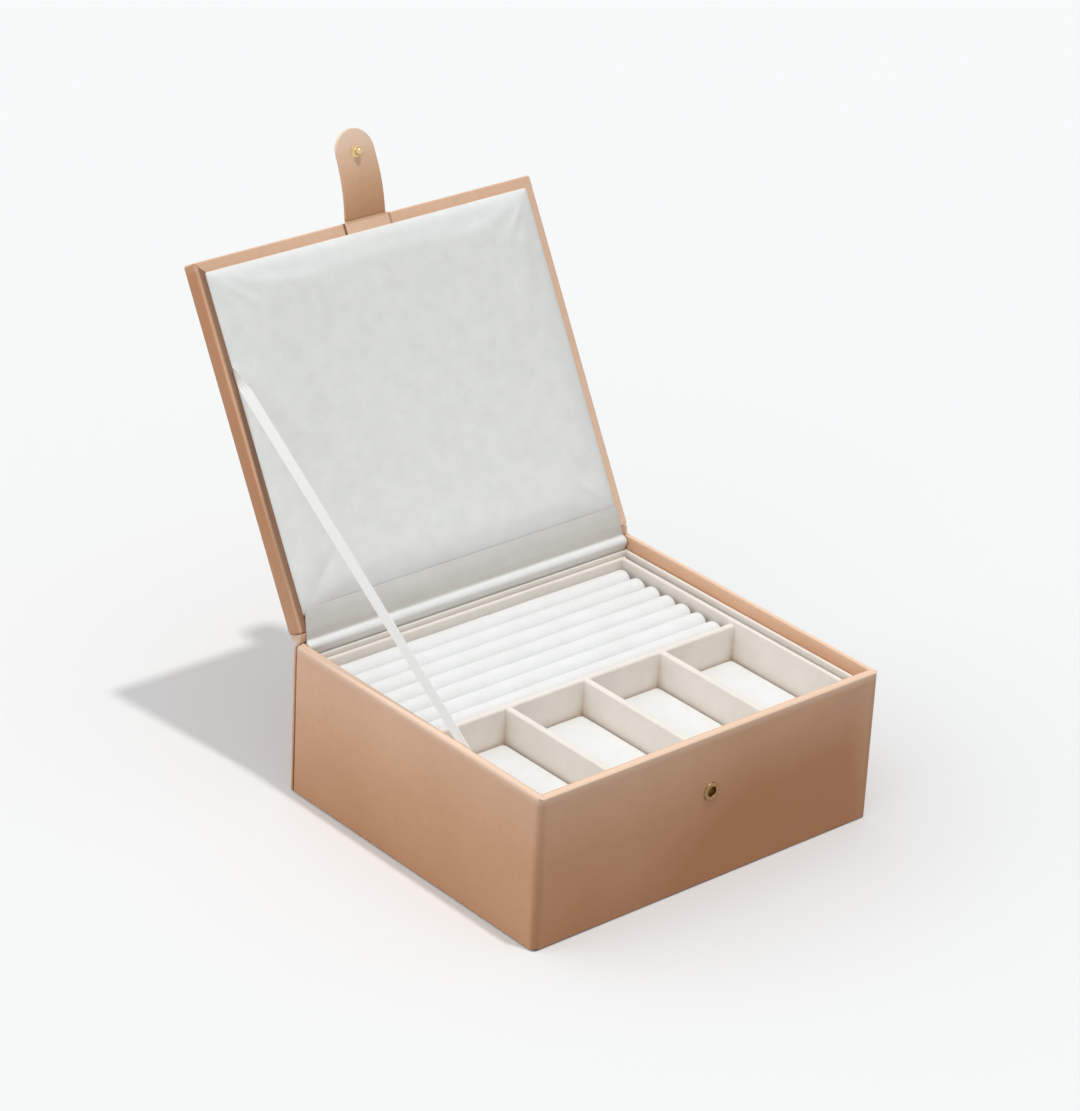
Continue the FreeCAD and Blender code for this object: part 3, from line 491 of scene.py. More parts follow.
def satin(name):
    """Satin ribbon: fine ribs across it and a soft gloss along it, from the piece's own UV map."""
    made, add = new_material(name)
    uv = add("TexCoord", {}).outputs["UV"]
    # UV is in metres. The ribs are 0.3 mm apart on the real one, drawn at 0.6 mm so that they show.
    ribs = add("TexWave", {"Scale": 1 / mm(0.6) / math.tau, "Distortion": 0.4, "bands_direction": "Y"},
               {"Vector": uv})
    colour = add("MixRGB", {"Color1": tone("#F7F6F3"), "Color2": tone("#FAFAF8")},
                 {"Fac": ribs.outputs["Fac"]})
    bump = add("Bump", {"Strength": 0.05, "Distance": mm(0.03)}, {"Height": ribs.outputs["Fac"]})
    surface = add("BsdfPrincipled", {"Roughness": 0.55, "Sheen Weight": 0.25, "IOR": 1.5},
                  {"Base Color": colour, "Normal": bump})
    add("OutputMaterial", {}, {"Surface": surface})
    return made


ribbon_satin = satin("satin_ribbon")
print("materials so far:", len(bpy.data.materials))

# %% [markdown]
# The hard pieces keep their CAD shapes and only need these finishes.

# %% Finishes for the CAD pieces
TRAY_WALLS = ["tray_wall_" + side for side in ("front", "back", "left", "right")]
DIVIDERS = ["long_divider"] + ["short_divider_%d" % n for n in (1, 2, 3)]
LINERS = ["liner_" + side for side in ("left", "right", "front", "back")]
dress(["back_panel"], wall_leather)
LEDGES = ["tray_ledge_left", "tray_ledge_right"]
dress(["tray_base"] + TRAY_WALLS + DIVIDERS + LINERS + LEDGES, cream_suede)
dress(["base_cover"], felt)
dress(["base_board", "front_board", "back_board", "left_board", "right_board", "lid_board"], greyboard)
dress(["lid_pad_card"], white_card)
dress(["socket_rivet"], brass)
back_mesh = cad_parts["back_panel"].data
back_mesh.polygons.foreach_set("use_smooth", [True] * len(back_mesh.polygons))
print("CAD pieces dressed")

# %% [markdown]
# The leather round the walls is one skin folded over the rim, so its edges are soft. It starts as a
# block without its top, bottom and back. A face inset in its front is moved to where the snap goes and
# taken out, which leaves the hole. Then it gets the wall's thickness, and its upright corners are
# rounded. A bevel along the rim makes the fold: on the outside it is longer downward than across,
# because wet leather pulled over a board's edge doesn't hold a tight round there.

# %% Wall leather
low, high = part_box("side_wrap")
WALL = mm(3.6)
OUTER_CORNER = mm(2.4)
INNER_CORNER = mm(0.6)
BACK_EDGE = mm(0.5)
RIM_OUTER = mm(1.4)
RIM_INNER = mm(0.9)
RIM_STRETCH = 1.6
SNAP_PLACE = mm(0, -86.5, 46.8)
SNAP_HOLE = mm(2.5)
TINY = mm(0.01)


def block(low, high):
    """A bmesh block between two corners."""
    bm = bmesh.new()
    bmesh.ops.create_cube(bm, size=1)
    bmesh.ops.scale(bm, vec=high - low, verts=bm.verts)
    bmesh.ops.translate(bm, vec=(low + high) / 2, verts=bm.verts)
    return bm


def bevel(bm, edges, offset, segments=4):
    """Round some edges."""
    bmesh.ops.bevel(bm, geom=edges, offset=offset, segments=segments, profile=0.5, affect="EDGES",
                    material=-1)


def upright(edge):
    """True for an edge along Z."""
    first, second = (v.co for v in edge.verts)
    return abs(first.z - second.z) > mm(0.4) and (first.xy - second.xy).length < TINY


def depth_in(point):
    """How far a point lies in from the walls' outer sides."""
    return min(BOX_HALF - abs(point.x), point.y - BOX_FRONT)


def at_rim(edge, outer):
    """True for an edge of the rim's outer or inner outline."""
    middle = (edge.verts[0].co + edge.verts[1].co) / 2
    if middle.z < high.z - TINY or len(edge.link_faces) != 2:
        return False
    if not any(abs(f.normal.z) < 0.5 for f in edge.link_faces):
        return False
    at_back = middle.y > high.y - mm(0.6) and depth_in(middle) > mm(0.6)
    return not at_back and (depth_in(middle) < WALL / 2) == outer


bm = block(low, high)
open_sides = [f for f in bm.faces if abs(f.normal.z) > 0.9 or f.normal.y > 0.9]
bmesh.ops.delete(bm, geom=open_sides, context="FACES_ONLY")
hole = min(bm.faces, key=lambda f: f.calc_center_median().y)
bmesh.ops.inset_individual(bm, faces=[hole], thickness=mm(20))
for vertex in hole.verts:
    aside = SNAP_HOLE if vertex.co.x > SNAP_PLACE.x else -SNAP_HOLE
    above = SNAP_HOLE if vertex.co.z > SNAP_PLACE.z else -SNAP_HOLE
    vertex.co = SNAP_PLACE + Vector((aside, 0, above))
bmesh.ops.delete(bm, geom=[hole], context="FACES")
bmesh.ops.recalc_face_normals(bm, faces=bm.faces)
bmesh.ops.solidify(bm, geom=bm.faces, thickness=WALL)

side_x = BOX_HALF - mm(1)
standing = [e for e in bm.edges if upright(e) and e.verts[0].co.y < mm(-50)]
bevel(bm, [e for e in standing if abs(e.verts[0].co.x) > side_x], OUTER_CORNER, 8)
inner = [e for e in standing if e.is_valid and mm(90) < abs(e.verts[0].co.x) < side_x]
bevel(bm, inner, INNER_CORNER, 4)
back_edges = [e for e in bm.edges if upright(e) and e.verts[0].co.y > high.y - TINY
              and abs(e.verts[0].co.x) > side_x]
bevel(bm, back_edges, BACK_EDGE, 3)
bm.normal_update()
bevel(bm, [e for e in bm.edges if at_rim(e, True)], RIM_OUTER, 7)
bm.normal_update()
bevel(bm, [e for e in bm.edges if at_rim(e, False)], RIM_INNER, 4)
fold_reach = RIM_OUTER * 1.05
for vertex in bm.verts:
    below_top = high.z - vertex.co.z
    if TINY < below_top < fold_reach and depth_in(vertex.co) < fold_reach:
        vertex.co.z = high.z - below_top * RIM_STRETCH
piece("side_leather", bm, wall_leather, "box", stands_for=["side_wrap"])

# %% [markdown]
# The lid's skin is leather pulled round a board and glued down on the inside as a narrow border. A
# block gets round corners and soft edges. Its inner face is replaced by a border, bridged from the
# outline to a rectangle under the lining, and everything gets the leather's thickness.

# %% Lid leather
LEATHER = mm(0.8)
LID_CORNER = mm(1.3)
LID_EDGE = mm(0.9)
bm = block(Vector((-LID_HALF, LID_FRONT, LID_UNDER)), Vector((LID_HALF, LID_BACK, LID_TOP)))
bevel(bm, [e for e in bm.edges if upright(e)], LID_CORNER, 5)
lid_outline = [e for e in bm.edges if not upright(e) and len(e.link_faces) == 2
               and any(abs(f.normal.z) < 0.5 for f in e.link_faces)
               and any(abs(f.normal.z) > 0.5 for f in e.link_faces)]
bevel(bm, lid_outline, LID_EDGE, 4)
bm.normal_update()
inner_face = max((f for f in bm.faces if f.normal.z < -0.9), key=lambda f: f.calc_area())
outline = inner_face.edges[:]
bmesh.ops.delete(bm, geom=[inner_face], context="FACES_ONLY")
corners = bmesh.ops.create_grid(bm, x_segments=1, y_segments=1, size=0.5)["verts"]
bmesh.ops.scale(bm, vec=(2 * (LID_HALF - BORDER), LID_BACK - LID_FRONT - 2 * BORDER, 1), verts=corners)
bmesh.ops.translate(bm, vec=(0, (LID_FRONT + LID_BACK) / 2, LID_UNDER), verts=corners)
window = corners[0].link_faces[0]
window_edges = window.edges[:]
bmesh.ops.delete(bm, geom=[window], context="FACES_ONLY")
bmesh.ops.bridge_loops(bm, edges=outline + window_edges)
bmesh.ops.recalc_face_normals(bm, faces=bm.faces)
if max(bm.faces, key=lambda f: f.calc_center_median().z).normal.z < 0:
    bmesh.ops.reverse_faces(bm, faces=bm.faces)
bmesh.ops.solidify(bm, geom=bm.faces, thickness=LEATHER)
piece("lid_skin", bm, lid_calf, "lid", LID_OPEN, stands_for=["lid_leather"])

# %% [markdown]
# The lid turns on a fold of leather. Seen from the end it is a small wedge between the rim and the
# lid's edge, so a six-sided outline is extruded along the hinge and its edges are eased.

# %% Hinge fold
def opened_yz(y, z):
    """A place on the closed lid, in millimetres, where it lies on the open one."""
    return LID_OPEN @ mm(0, y, z)


def bar(points, half_width):
    """An outline in the YZ plane, extruded along X to both sides."""
    bm = bmesh.new()
    face = bm.faces.new([bm.verts.new((-half_width, p.y, p.z)) for p in points])
    grown = bmesh.ops.extrude_face_region(bm, geom=[face])
    moved = [g for g in grown["geom"] if isinstance(g, bmesh.types.BMVert)]
    bmesh.ops.translate(bm, vec=(2 * half_width, 0, 0), verts=moved)
    bmesh.ops.recalc_face_normals(bm, faces=bm.faces)
    return bm


def cut_across(bm, axis, places):
    """Cut a mesh across an axis at some places, in millimetres."""
    for place in places:
        geometry = bm.verts[:] + bm.edges[:] + bm.faces[:]
        bmesh.ops.bisect_plane(bm, geom=geometry, plane_co=Vector(axis) * mm(place), plane_no=axis)


FOLD_HALF = mm(98.3)
FOLD_EDGE = mm(0.5)
fold_outline = [
    mm(0, 84.3, 76.1),
    mm(0, 85.4, 75.5),
    mm(0, 89.2, 75.9),
    opened_yz(85.25, 84.2),
    opened_yz(85.25, 79.0),
    opened_yz(85.25, 76.8),
]
bm = bar(fold_outline, FOLD_HALF)
bevel(bm, [e for e in bm.edges if e.calc_length() > FOLD_HALF], FOLD_EDGE, 3)
cut_across(bm, (1, 0, 0), (0,))
hinge_fold = piece("hinge_fold", bm, shaded_hinge_calf, stands_for=["hinge_leather"])
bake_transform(hinge_fold)

# %% [markdown]
# Inside, the fold is hidden by a padded white strip. Its lower end is tucked behind the back liner and
# its upper end lies on the lid's lining. Its section follows that line, fuller at the rim, where the
# padding makes a roll, and thin at both ends. Above the rim it is a little narrower.

# %% Hinge lining
LINING_LINE = [
    (82.35, 61.7), (82.35, 65.7), (82.3, 69.7), (82.0, 71.6), (81.6, 73.0), (81.4, 74.4), (81.8, 75.5),
    (83.0, 76.3), (83.7, 78.0), (83.8, 80.8), (85.1, 84.2), (86.2, 86.8), (86.95, 88.9), (87.45, 91.0),
]
LINING_THICK = [0.5, 0.5, 0.6, 1.3, 2.3, 2.7, 2.5, 1.7, 1.0, 0.7, 0.7, 0.6, 0.4, 0.1]
ROLL_HALF = mm(95.9)
ABOVE_HALF = mm(93.6)


def strip(line, thickness, half_width, x_cuts):
    """A soft strip along X whose section follows a line of (Y, Z) points in millimetres."""
    centre = [mm(0, y, z) for y, z in line]
    rows = []
    for index, point in enumerate(centre):
        before = centre[max(index - 1, 0)]
        after = centre[min(index + 1, len(centre) - 1)]
        along = (after - before).normalized()
        across = Vector((0, -along.z, along.y)) * mm(thickness[index]) / 2
        rows.append((point + across, point - across))
    outline = [near for near, far in rows] + [far for near, far in reversed(rows)]
    bm = bar(outline, half_width)
    ends = [e for e in bm.edges if e.calc_length() > half_width]
    bmesh.ops.subdivide_edges(bm, edges=ends, cuts=x_cuts, use_grid_fill=True)
    return bm


bm = strip(LINING_LINE, LINING_THICK, ROLL_HALF, 11)
cut_across(bm, (1, 0, 0), (-94.7, 94.7))
for vertex in bm.verts:
    narrowed = clamp((vertex.co.z - mm(75.6)) / mm(1.6))
    vertex.co.x *= 1 + narrowed * (ABOVE_HALF / ROLL_HALF - 1)
hinge_lining = piece("hinge_lining_soft", bm, lid_suede, sharp=80,
                     stands_for=["hinge_lining"])
subdivide(hinge_lining, 2)
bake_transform(hinge_lining)

# %% [markdown]
# The lid's lining is cloth over thin foam on a card. The foam lifts the cloth into a low crown, and the
# cloth pulls down at the edges. A cloth simulation with a little pressure under the sheet gives that,
# with the small unevenness of real cloth. The pad lies flat while it is made and is then opened.

# %% Lid lining
PAD_X = mm(94)
PAD_FRONT = mm(-82.75)
PAD_BACK = mm(78)
PAD_EDGE = mm(0.6)
PAD_MIDDLE = mm(3.9)
PAD_SLOPE = mm(12)
HINGE_SLOPE = PAD_SLOPE * 1.8


def pad_block(x0, x1, y0, y1, thick, step):
    """A flat pad of cloth: a fine grid on top, the same grid below and thin sides, top facing +Z."""
    bm = bmesh.new()
    count_x = max(4, round((x1 - x0) / step))
    count_y = max(4, round((y1 - y0) / step))
    bmesh.ops.create_grid(bm, x_segments=count_x, y_segments=count_y, size=0.5)
    bmesh.ops.scale(bm, vec=(x1 - x0, y1 - y0, 1), verts=bm.verts)
    bmesh.ops.translate(bm, vec=((x0 + x1) / 2, (y0 + y1) / 2, thick), verts=bm.verts)
    grown = bmesh.ops.extrude_face_region(bm, geom=bm.faces[:], use_keep_orig=True)
    lower = [g for g in grown["geom"] if isinstance(g, bmesh.types.BMVert)]
    bmesh.ops.translate(bm, vec=(0, 0, -thick), verts=lower)
    bmesh.ops.recalc_face_normals(bm, faces=bm.faces)
    return bm


def raise_middle(bm):
    """Lift the top of the lid's pad from its edge to its middle along a quarter-round slope."""
    for vertex in bm.verts:
        x, y, z = vertex.co
        if z > PAD_EDGE / 2:
            lift = 1.0
            for inward in ((x + PAD_X) / PAD_SLOPE, (PAD_X - x) / PAD_SLOPE, (y - PAD_FRONT) / PAD_SLOPE,
                           (PAD_BACK - y) / HINGE_SLOPE):
                lift *= math.sqrt(max(0.0, 1 - max(0.0, 1 - inward) ** 2))
            vertex.co.z = PAD_EDGE + (PAD_MIDDLE - PAD_EDGE) * lift


def swell(name, bm, pressure, rise, frames=20):
    """Blow a cloth pad up with its underside pinned, and cap how far each point may rise."""
    mesh = mesh_from(bm, name)
    made = put(name, mesh)
    base = min(v.co.z for v in mesh.vertices)
    pins = made.vertex_groups.new(name="pins")
    pins.add([v.index for v in mesh.vertices if v.co.z < base + mm(0.1)], 1.0, "REPLACE")
    start = [v.co.copy() for v in mesh.vertices]
    cloth = made.modifiers.new("cloth", "CLOTH").settings
    cloth.quality = 6
    cloth.mass = 0.1
    cloth.tension_stiffness = 12
    cloth.compression_stiffness = 12
    cloth.bending_stiffness = 0.4
    cloth.vertex_group_mass = "pins"
    cloth.use_pressure = True
    cloth.uniform_pressure_force = pressure
    cloth.effector_weights.gravity = 0
    for number in range(1, frames + 1):
        bpy.context.scene.frame_set(number)
    shown = made.evaluated_get(bpy.context.evaluated_depsgraph_get())
    settled = [v.co.copy() for v in shown.data.vertices]
    made.modifiers.clear()
    for vertex, before, after in zip(mesh.vertices, start, settled):
        move = after - before
        far = move.length
        if far > 0:
            vertex.co = before + move * (rise * math.tanh(far / rise) / far)
    bpy.context.scene.frame_set(1)
    bpy.data.objects.remove(made)
    bm = bmesh.new()
    bm.from_mesh(mesh)
    return bm


bm = pad_block(-PAD_X, PAD_X, PAD_FRONT, PAD_BACK, PAD_EDGE, step=mm(2))
raise_middle(bm)
bm = swell("lid_pad_cloth", bm, pressure=3.0, rise=mm(0.6))
under_lid = Matrix.Translation((0, 0, LID_UNDER)) @ Matrix.Diagonal((1, 1, -1, 1))
lid_pad = piece("lid_pad", bm, lid_suede, "lid", LID_OPEN @ under_lid, sharp=80,
                stands_for=["lid_lining"])
lid_pad.data.flip_normals()
subdivide(lid_pad, 1)

# %% [markdown]
# Rings are held between soft rolls. Each is a bar of foam in cloth with a round top and ends that are
# drawn in. A block's long top edges get one large bevel each, its ends are rounded, and it is cut along
# its length. A touch of noise, in waves of about 20 mm, takes away the machine-made look.

# %% Ring rolls
ROLL_END = mm(2.2)
ROLL_CUTS = 29
ROLL_WAVE = mm(0.25)
ROLL_SWAY = mm(0.12)
ROLL_SINK = mm(0.2)


def reach_x(edge):
    """How far an edge reaches along X."""
    return abs(edge.verts[0].co.x - edge.verts[1].co.x)


def ring_roll(name, seed):
    """A padded roll in the space of its CAD solid."""
    low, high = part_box(name)
    bm = block(low, high)
    half = (high.y - low.y) / 2
    long_top = [e for e in bm.edges if reach_x(e) > mm(50)
                and min(v.co.z for v in e.verts) > high.z - mm(0.1)]
    bevel(bm, long_top, half * 0.98, 7)
    ends = [e for e in bm.edges if reach_x(e) < mm(0.1) and max(v.co.z for v in e.verts) > low.z + mm(1)]
    bevel(bm, ends, ROLL_END, 4)
    long_way = [e for e in bm.edges if e.calc_length() > mm(50)]
    bmesh.ops.subdivide_edges(bm, edges=long_way, cuts=ROLL_CUTS)
    for vertex in bm.verts:
        if vertex.co.z > low.z + mm(2):
            wave = noise.noise(Vector((vertex.co.x * 60, vertex.co.y * 40, seed)))
            vertex.co.z += ROLL_WAVE * wave - ROLL_SINK
            vertex.co.y += ROLL_SWAY * noise.noise(Vector((vertex.co.x * 45, seed, vertex.co.z * 60)))
    made = piece(name + "_soft", bm, white_suede, "tray", sharp=70, stands_for=[name])
    subdivide(made, 1)


for number in range(1, 8):
    ring_roll("ring_roll_%d" % number, number * 7.3)

# %% [markdown]
# Each compartment has a loose pad on its floor, card under thin foam and cloth. It lies a little short
# of the walls, which leaves the dark line round it. The floor of the well under the tray is made alike.

# %% Floor pads
PAD_CROWN = mm(0.5)
CROWN_WAY = mm(5)
EDGE_SINKS = 0.6
PAD_WAVE = mm(0.1)


def floor_pad(name, body):
    """A thin pad with a soft edge and a low crown, in the space of its CAD solid."""
    low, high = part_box(name)
    bm = pad_block(low.x, high.x, low.y, high.y, high.z - low.z, step=mm(4))
    bmesh.ops.translate(bm, vec=(0, 0, low.z), verts=bm.verts)
    centre = (low + high) / 2
    size = (high - low) / 2
    for vertex in bm.verts:
        if vertex.co.z > centre.z:
            u = 1 - abs(vertex.co.x - centre.x) / size.x
            v = 1 - abs(vertex.co.y - centre.y) / size.y
            inward = min(u * size.x, v * size.y) / CROWN_WAY
            wave = noise.noise(vertex.co * 70)
            vertex.co.z += PAD_CROWN * (min(1, inward) - EDGE_SINKS) + PAD_WAVE * wave
    made = piece(name + "_soft", bm, white_suede, body, sharp=80, stands_for=[name])
    subdivide(made, 1)


for number in (1, 2, 3, 4):
    floor_pad("compartment_pad_%d" % number, "tray")
floor_pad("floor_pad", "box")

# %% [markdown]
# The ribbon is flat and taut. It comes up between the wall and its liner, turns slowly on its way
# across, and goes in nearly edge-on behind the edge of the lid's lining. The real one is partly folded
# along its length, so it is drawn narrower than it is when flat. An edge as wide as the ribbon is
# extruded along that way and then turned step by step.

# %% Ribbon stay
RIBBON_HALF = mm(2.5)
RIBBON_THICK = mm(0.3)
RIBBON_TUCK = mm(12)
RIBBON_STEPS = 30
RIM_ANGLE = 12
LID_ANGLE = 34
RIM_WAY = mm(8)
EDGE_ON = 60
EDGE_WAY = mm(11)
at_rim_point = mm(-96.15, -29.4, 76.0)
at_lid_point = LID_OPEN @ mm(-93.7, -38, 75.9)
run = (at_lid_point - at_rim_point).normalized()
length = (at_lid_point - at_rim_point).length
ribbon_way = [at_rim_point - run * RIBBON_TUCK, at_rim_point - run * mm(1)]
ribbon_way += [at_rim_point.lerp(at_lid_point, n / RIBBON_STEPS) for n in range(RIBBON_STEPS + 1)]
across = Vector((1, 0, 0)).cross(run).normalized()

bm = bmesh.new()
first = [bm.verts.new(ribbon_way[0] + across * s * RIBBON_HALF) for s in (-1, -0.33, 0.33, 1)]
row = [bm.edges.new((first[i], first[i + 1])) for i in range(3)]
for before, after in zip(ribbon_way, ribbon_way[1:]):
    grown = bmesh.ops.extrude_edge_only(bm, edges=row)["geom"]
    row = [g for g in grown if isinstance(g, bmesh.types.BMEdge) and all(v in grown for v in g.verts)]
    moved = [g for g in grown if isinstance(g, bmesh.types.BMVert)]
    bmesh.ops.translate(bm, vec=after - before, verts=moved)
uv = bm.loops.layers.uv.new("ribbon")
for face in bm.faces:
    for loop in face.loops:
        from_rim = loop.vert.co - at_rim_point
        loop[uv].uv = (from_rim.dot(across), from_rim.dot(run))
for vertex in bm.verts:
    gone = (vertex.co - at_rim_point).dot(run)
    middle = at_rim_point + run * gone
    angle = RIM_ANGLE + (LID_ANGLE - RIM_ANGLE) * clamp(gone / length)
    angle = angle * clamp(gone / RIM_WAY) - EDGE_ON * clamp(1 - (length - gone) / EDGE_WAY)
    vertex.co = middle + Matrix.Rotation(math.radians(angle), 3, run) @ (vertex.co - middle)
ribbon = piece("ribbon_stay", bm, ribbon_satin, stands_for=["stay_ribbon"])
ribbon.data.polygons.foreach_set("use_smooth", [False] * len(ribbon.data.polygons))
thicken = ribbon.modifiers.new("thickness", "SOLIDIFY")
thicken.thickness = RIBBON_THICK
thicken.offset = 0
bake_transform(ribbon)

# %% [markdown]
# The strap is two layers of leather, a little narrower towards its round end. Its root, the tongue, is
# a wider layer in the lid's border that goes in under the lining. Each starts as a block. The strap's
# end is rounded by a full bevel, its sides spread a little towards the root, and a slow curve makes it
# lean back at the tip.

# %% Strap
ROOT_HALF = mm(11.5)
END_HALF = mm(10.8)
STRAP_START = mm(-87.2)
STRAP_TIP = mm(-130.0)
STRAP_LOW = mm(75.9)
STRAP_HIGH = mm(77.7)
STRAP_LEAN = mm(1.5)
LEAN_WAY = mm(30)
FOLD_WAY = mm(3.2)
STRAP_EDGE = mm(0.45)
TONGUE_EDGE = mm(0.25)


def soften_outline(bm, offset):
    """Bevel the edges between the flat faces and the cut sides."""
    bm.normal_update()
    cut = [e for e in bm.edges if len(e.link_faces) == 2 and
           0.5 < abs(e.link_faces[0].normal.z) + abs(e.link_faces[1].normal.z) < 1.5]
    bevel(bm, cut, offset, 3)


bm = block(Vector((-END_HALF, STRAP_TIP, STRAP_LOW)), Vector((END_HALF, STRAP_START, STRAP_HIGH)))
tip = [e for e in bm.edges if upright(e) and e.verts[0].co.y < mm(-100)]
bevel(bm, tip, END_HALF * 0.999, 14)
bmesh.ops.remove_doubles(bm, verts=bm.verts, dist=mm(0.05))
cut_across(bm, (0, 1, 0), (-124, -119, -115, -111, -107, -103, -99, -96, -93, -91, -90, -89.2, -88.4))
soften_outline(bm, STRAP_EDGE)
bend = turn(STRAP_ROOT, STRAP_BEND)
for vertex in bm.verts:
    along = STRAP_ROOT.y - vertex.co.y
    vertex.co.x *= 1 + clamp(1 - along / LEAN_WAY) * (ROOT_HALF / END_HALF - 1)
    if along > 0:
        vertex.co.z -= STRAP_LEAN * math.sin(math.pi * along / LEAN_WAY)
    vertex.co = vertex.co.lerp(bend @ vertex.co, clamp(along / FOLD_WAY + 0.5))
strap = piece("strap", bm, strap_calf, None, LID_OPEN,
              stands_for=["strap_face", "strap_lining"])
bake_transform(strap)

tongue_low = Vector((-TONGUE_HALF, mm(-88.3), mm(76.08)))
tongue_high = Vector((TONGUE_HALF, mm(-66), mm(76.7)))
bm = block(tongue_low, tongue_high)
soften_outline(bm, TONGUE_EDGE)
piece("strap_root", bm, strap_calf, "lid", LID_OPEN, stands_for=["strap_tongue"])

# %% [markdown]
# The snap is turned brass. The socket is a rolled ring round a spring, the stud a ball on a short neck,
# and the cap a low dome on the strap's other side. A profile spun round an axis makes each.

# %% Snap
def spun(points, segments):
    """A profile of (radius, height) in millimetres, spun round Z."""
    bm = bmesh.new()
    verts = [bm.verts.new((mm(r), 0, mm(h))) for r, h in points]
    edges = [bm.edges.new(pair) for pair in zip(verts, verts[1:])]
    bmesh.ops.spin(bm, geom=verts + edges, cent=(0, 0, 0), axis=(0, 0, 1), angle=math.tau, steps=segments,
                   use_merge=True)
    bmesh.ops.remove_doubles(bm, verts=bm.verts, dist=mm(0.005))
    return bm


def arc(radius, centre_r, centre_h, start, end, count=8):
    """Points on a round part of a profile, in degrees from the radius direction."""
    made = []
    for index in range(count + 1):
        angle = math.radians(start + (end - start) * index / count)
        made.append((centre_r + radius * math.cos(angle), centre_h + radius * math.sin(angle)))
    return made


socket_profile = [(2.4, -2.8), (2.4, 0.1)] + arc(0.45, 2.85, 0.35, 180, 90, 5)
socket_profile += arc(0.8, 3.7, 0.0, 90, 0, 6) + [(4.5, -0.02), (3.2, -0.02), (3.2, -2.8), (2.4, -2.8)]
to_front = Matrix.Translation(SNAP_PLACE) @ Matrix.Rotation(math.pi / 2, 4, "X")

SNAP_Y = mm(-119.2)
stud_profile = [(0, 0), (3.1, 0)] + arc(0.15, 2.95, 0.2, 0, 90, 4) + [(2.2, 0.45), (1.5, 0.65)]
stud_profile += arc(1.9, 0, 2.1, -42, 90, 9)
to_stud = STRAP_OPEN @ Matrix.Translation((0, SNAP_Y, STRAP_LOW)) @ Matrix.Rotation(math.pi, 4, "X")

cap_profile = [(0, 0), (6.0, 0)] + arc(0.3, 5.9, 0.3, -60, 60, 4)
cap_profile += [(5.2, 0.85), (3.6, 1.15), (1.8, 1.28), (0, 1.3)]
to_cap = STRAP_OPEN @ Matrix.Translation((0, SNAP_Y, STRAP_HIGH))

for name, profile, segments, finish, body, place, sharp, node in (
    ("snap_socket_ring", socket_profile, 48, aged_brass, "box", to_front, 50, "snap_socket"),
    ("snap_stud_ball", stud_profile, 40, brass, "strap", to_stud, 50, "snap_stud"),
    ("snap_cap", cap_profile, 64, brass, "strap", to_cap, 60, "stud_cap"),
):
    piece(name, spun(profile, segments), finish, body, place, sharp=sharp, stands_for=[node])

# %% [markdown]
# The stage is a plain pale floor. The camera sees it nearly white, and light that bounces off it onto
# the box is weaker, which keeps the walls darker towards their foot.

# %% Floor
PALE = tone("#F8F8F8")
FLOOR = tone("#ECEDED")
BOUNCE = tone("#7E7871")


def seen_directly(add):
    """The Light Path node, and a mask for what the camera sees, at once or mirrored."""
    path = add("LightPath", {})
    return path, add("Math", LARGER, {0: path.outputs["Is Camera Ray"], 1: path.outputs["Is Glossy Ray"]})


bm = bmesh.new()
bmesh.ops.create_grid(bm, x_segments=1, y_segments=1, size=4)
floor = put("floor", mesh_from(bm, "floor"))
pale_floor, add = new_material("pale_floor")
path, seen = seen_directly(add)
colour = add("MixRGB", {"Color1": BOUNCE, "Color2": FLOOR}, {"Fac": seen})
surface = add("BsdfDiffuse", {}, {"Color": colour})
add("OutputMaterial", {}, {"Surface": surface})
floor.data.materials.append(pale_floor)
print("floor set")

# %% [markdown]
# The world is the studio's soft light: even from above, stronger from large windows of light on the
# left. A direction's share of the left light is how nearly it points that way. The camera and
# reflections see the same pale backdrop as the floor.

# %% Studio light
AROUND = 0.53
FROM_LEFT = 0.95
LEFT = Vector((-0.85, 0.35, 0.40)).normalized()
COOL = (0.985, 1.0, 1.015, 1.0)

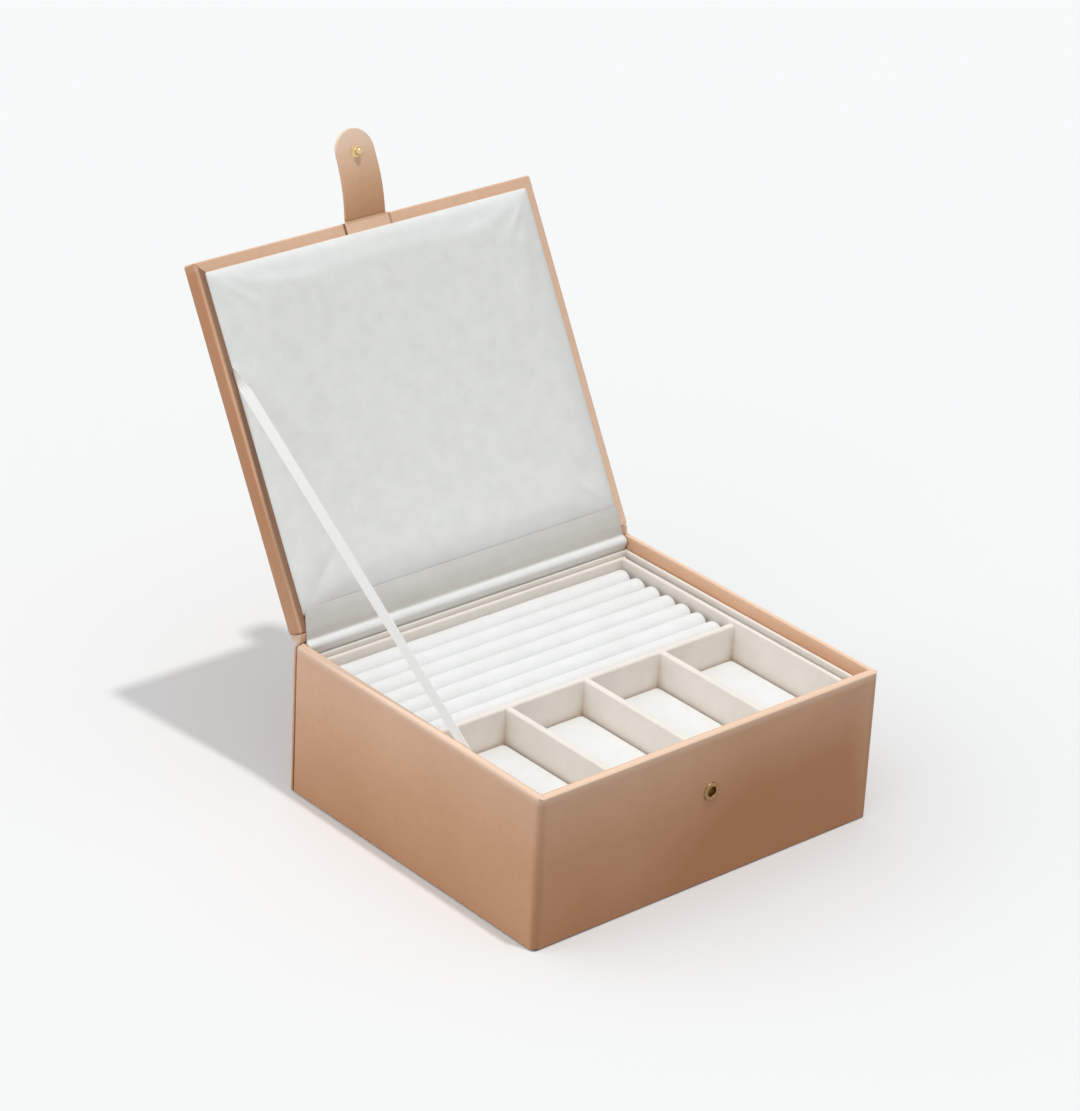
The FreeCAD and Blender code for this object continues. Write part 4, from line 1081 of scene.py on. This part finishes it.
world = bpy.data.worlds.new("studio")
bpy.context.scene.world = world
world.use_nodes = True
world.node_tree.nodes.clear()
add = partial(add_node, world.node_tree)
path, seen = seen_directly(add)
seen = add("Math", LARGER, {0: seen, 1: path.outputs["Is Transmission Ray"]})
direction = add("TexCoord", {}).outputs["Generated"]
leftward = add("VectorMath", {"operation": "DOT_PRODUCT", 1: LEFT}, {0: direction})
some = add("Math", {"operation": "MAXIMUM", 1: 0.0}, {0: leftward.outputs["Value"]})
square = add("Math", {"operation": "POWER", 1: 2.0}, {0: some})
level = add("Math", {"operation": "MULTIPLY_ADD", 1: FROM_LEFT, 2: AROUND}, {0: square})
cool = add("MixRGB", {"blend_type": "MULTIPLY", "Fac": 1.0, "Color2": COOL}, {"Color1": level})
sky = add("MixRGB", {"Color2": PALE}, {"Fac": seen, "Color1": cool})
lit = add("Background", {"Strength": 1.0}, {"Color": sky})
add("OutputWorld", {}, {"Surface": lit})
print("studio light set")

# %% [markdown]
# One lamp does the rest. It hangs high and a little to the front right, wide enough for soft shadows,
# and throws the open lid's shadow to the left behind the box. Its rays are nearly parallel, so it is
# a sun lamp with a few degrees of width.

# %% Lamp
KEY = Vector((0.063, -0.155, 0.987))
light = bpy.data.lights.new("key", "SUN")
light.energy = 1.15
light.angle = math.radians(2.5)
light.color = (1.0, 0.99, 0.98)
key = put("key", light)
key.rotation_euler = KEY.to_track_quat("Z", "Y").to_euler()

# %% [markdown]
# The camera stands where the photograph was taken from: above the front left corner, far off and with a
# long lens, so that the edges stay nearly parallel. Its place and turn come from matching the box's
# corners. The picture is 1080 by 1111 pixels, and the lens is given for its width.

# %% Camera
EYE = mm(-1101.97, -1209.85, 942.08)
YAW, PITCH, ROLL = (math.radians(a) for a in (-41.51, 26.51, 2.98))
FOCAL_PIXELS = 4104.42
PICTURE_WIDTH = 1080
SENSOR = 36
ahead = Vector((-math.sin(YAW) * math.cos(PITCH), math.cos(YAW) * math.cos(PITCH), -math.sin(PITCH)))
sideways = Vector((math.cos(YAW), math.sin(YAW), 0))
overhead = sideways.cross(ahead)
right = sideways * math.cos(ROLL) + overhead * math.sin(ROLL)
above = -sideways * math.sin(ROLL) + overhead * math.cos(ROLL)
lens = bpy.data.cameras.new("camera")
lens.sensor_fit = "HORIZONTAL"
lens.sensor_width = SENSOR
lens.lens = SENSOR * FOCAL_PIXELS / PICTURE_WIDTH
lens.clip_end = 20
camera = put("camera", lens)
camera.matrix_world = Matrix.Translation(EYE) @ Matrix((right, above, -ahead)).transposed().to_4x4()
bpy.context.scene.camera = camera
print("lens", round(lens.lens, 1), "mm")

# %% [markdown]
# Last, the plain view transform.

# %% Finish
bpy.context.scene.view_settings.view_transform = "Standard"
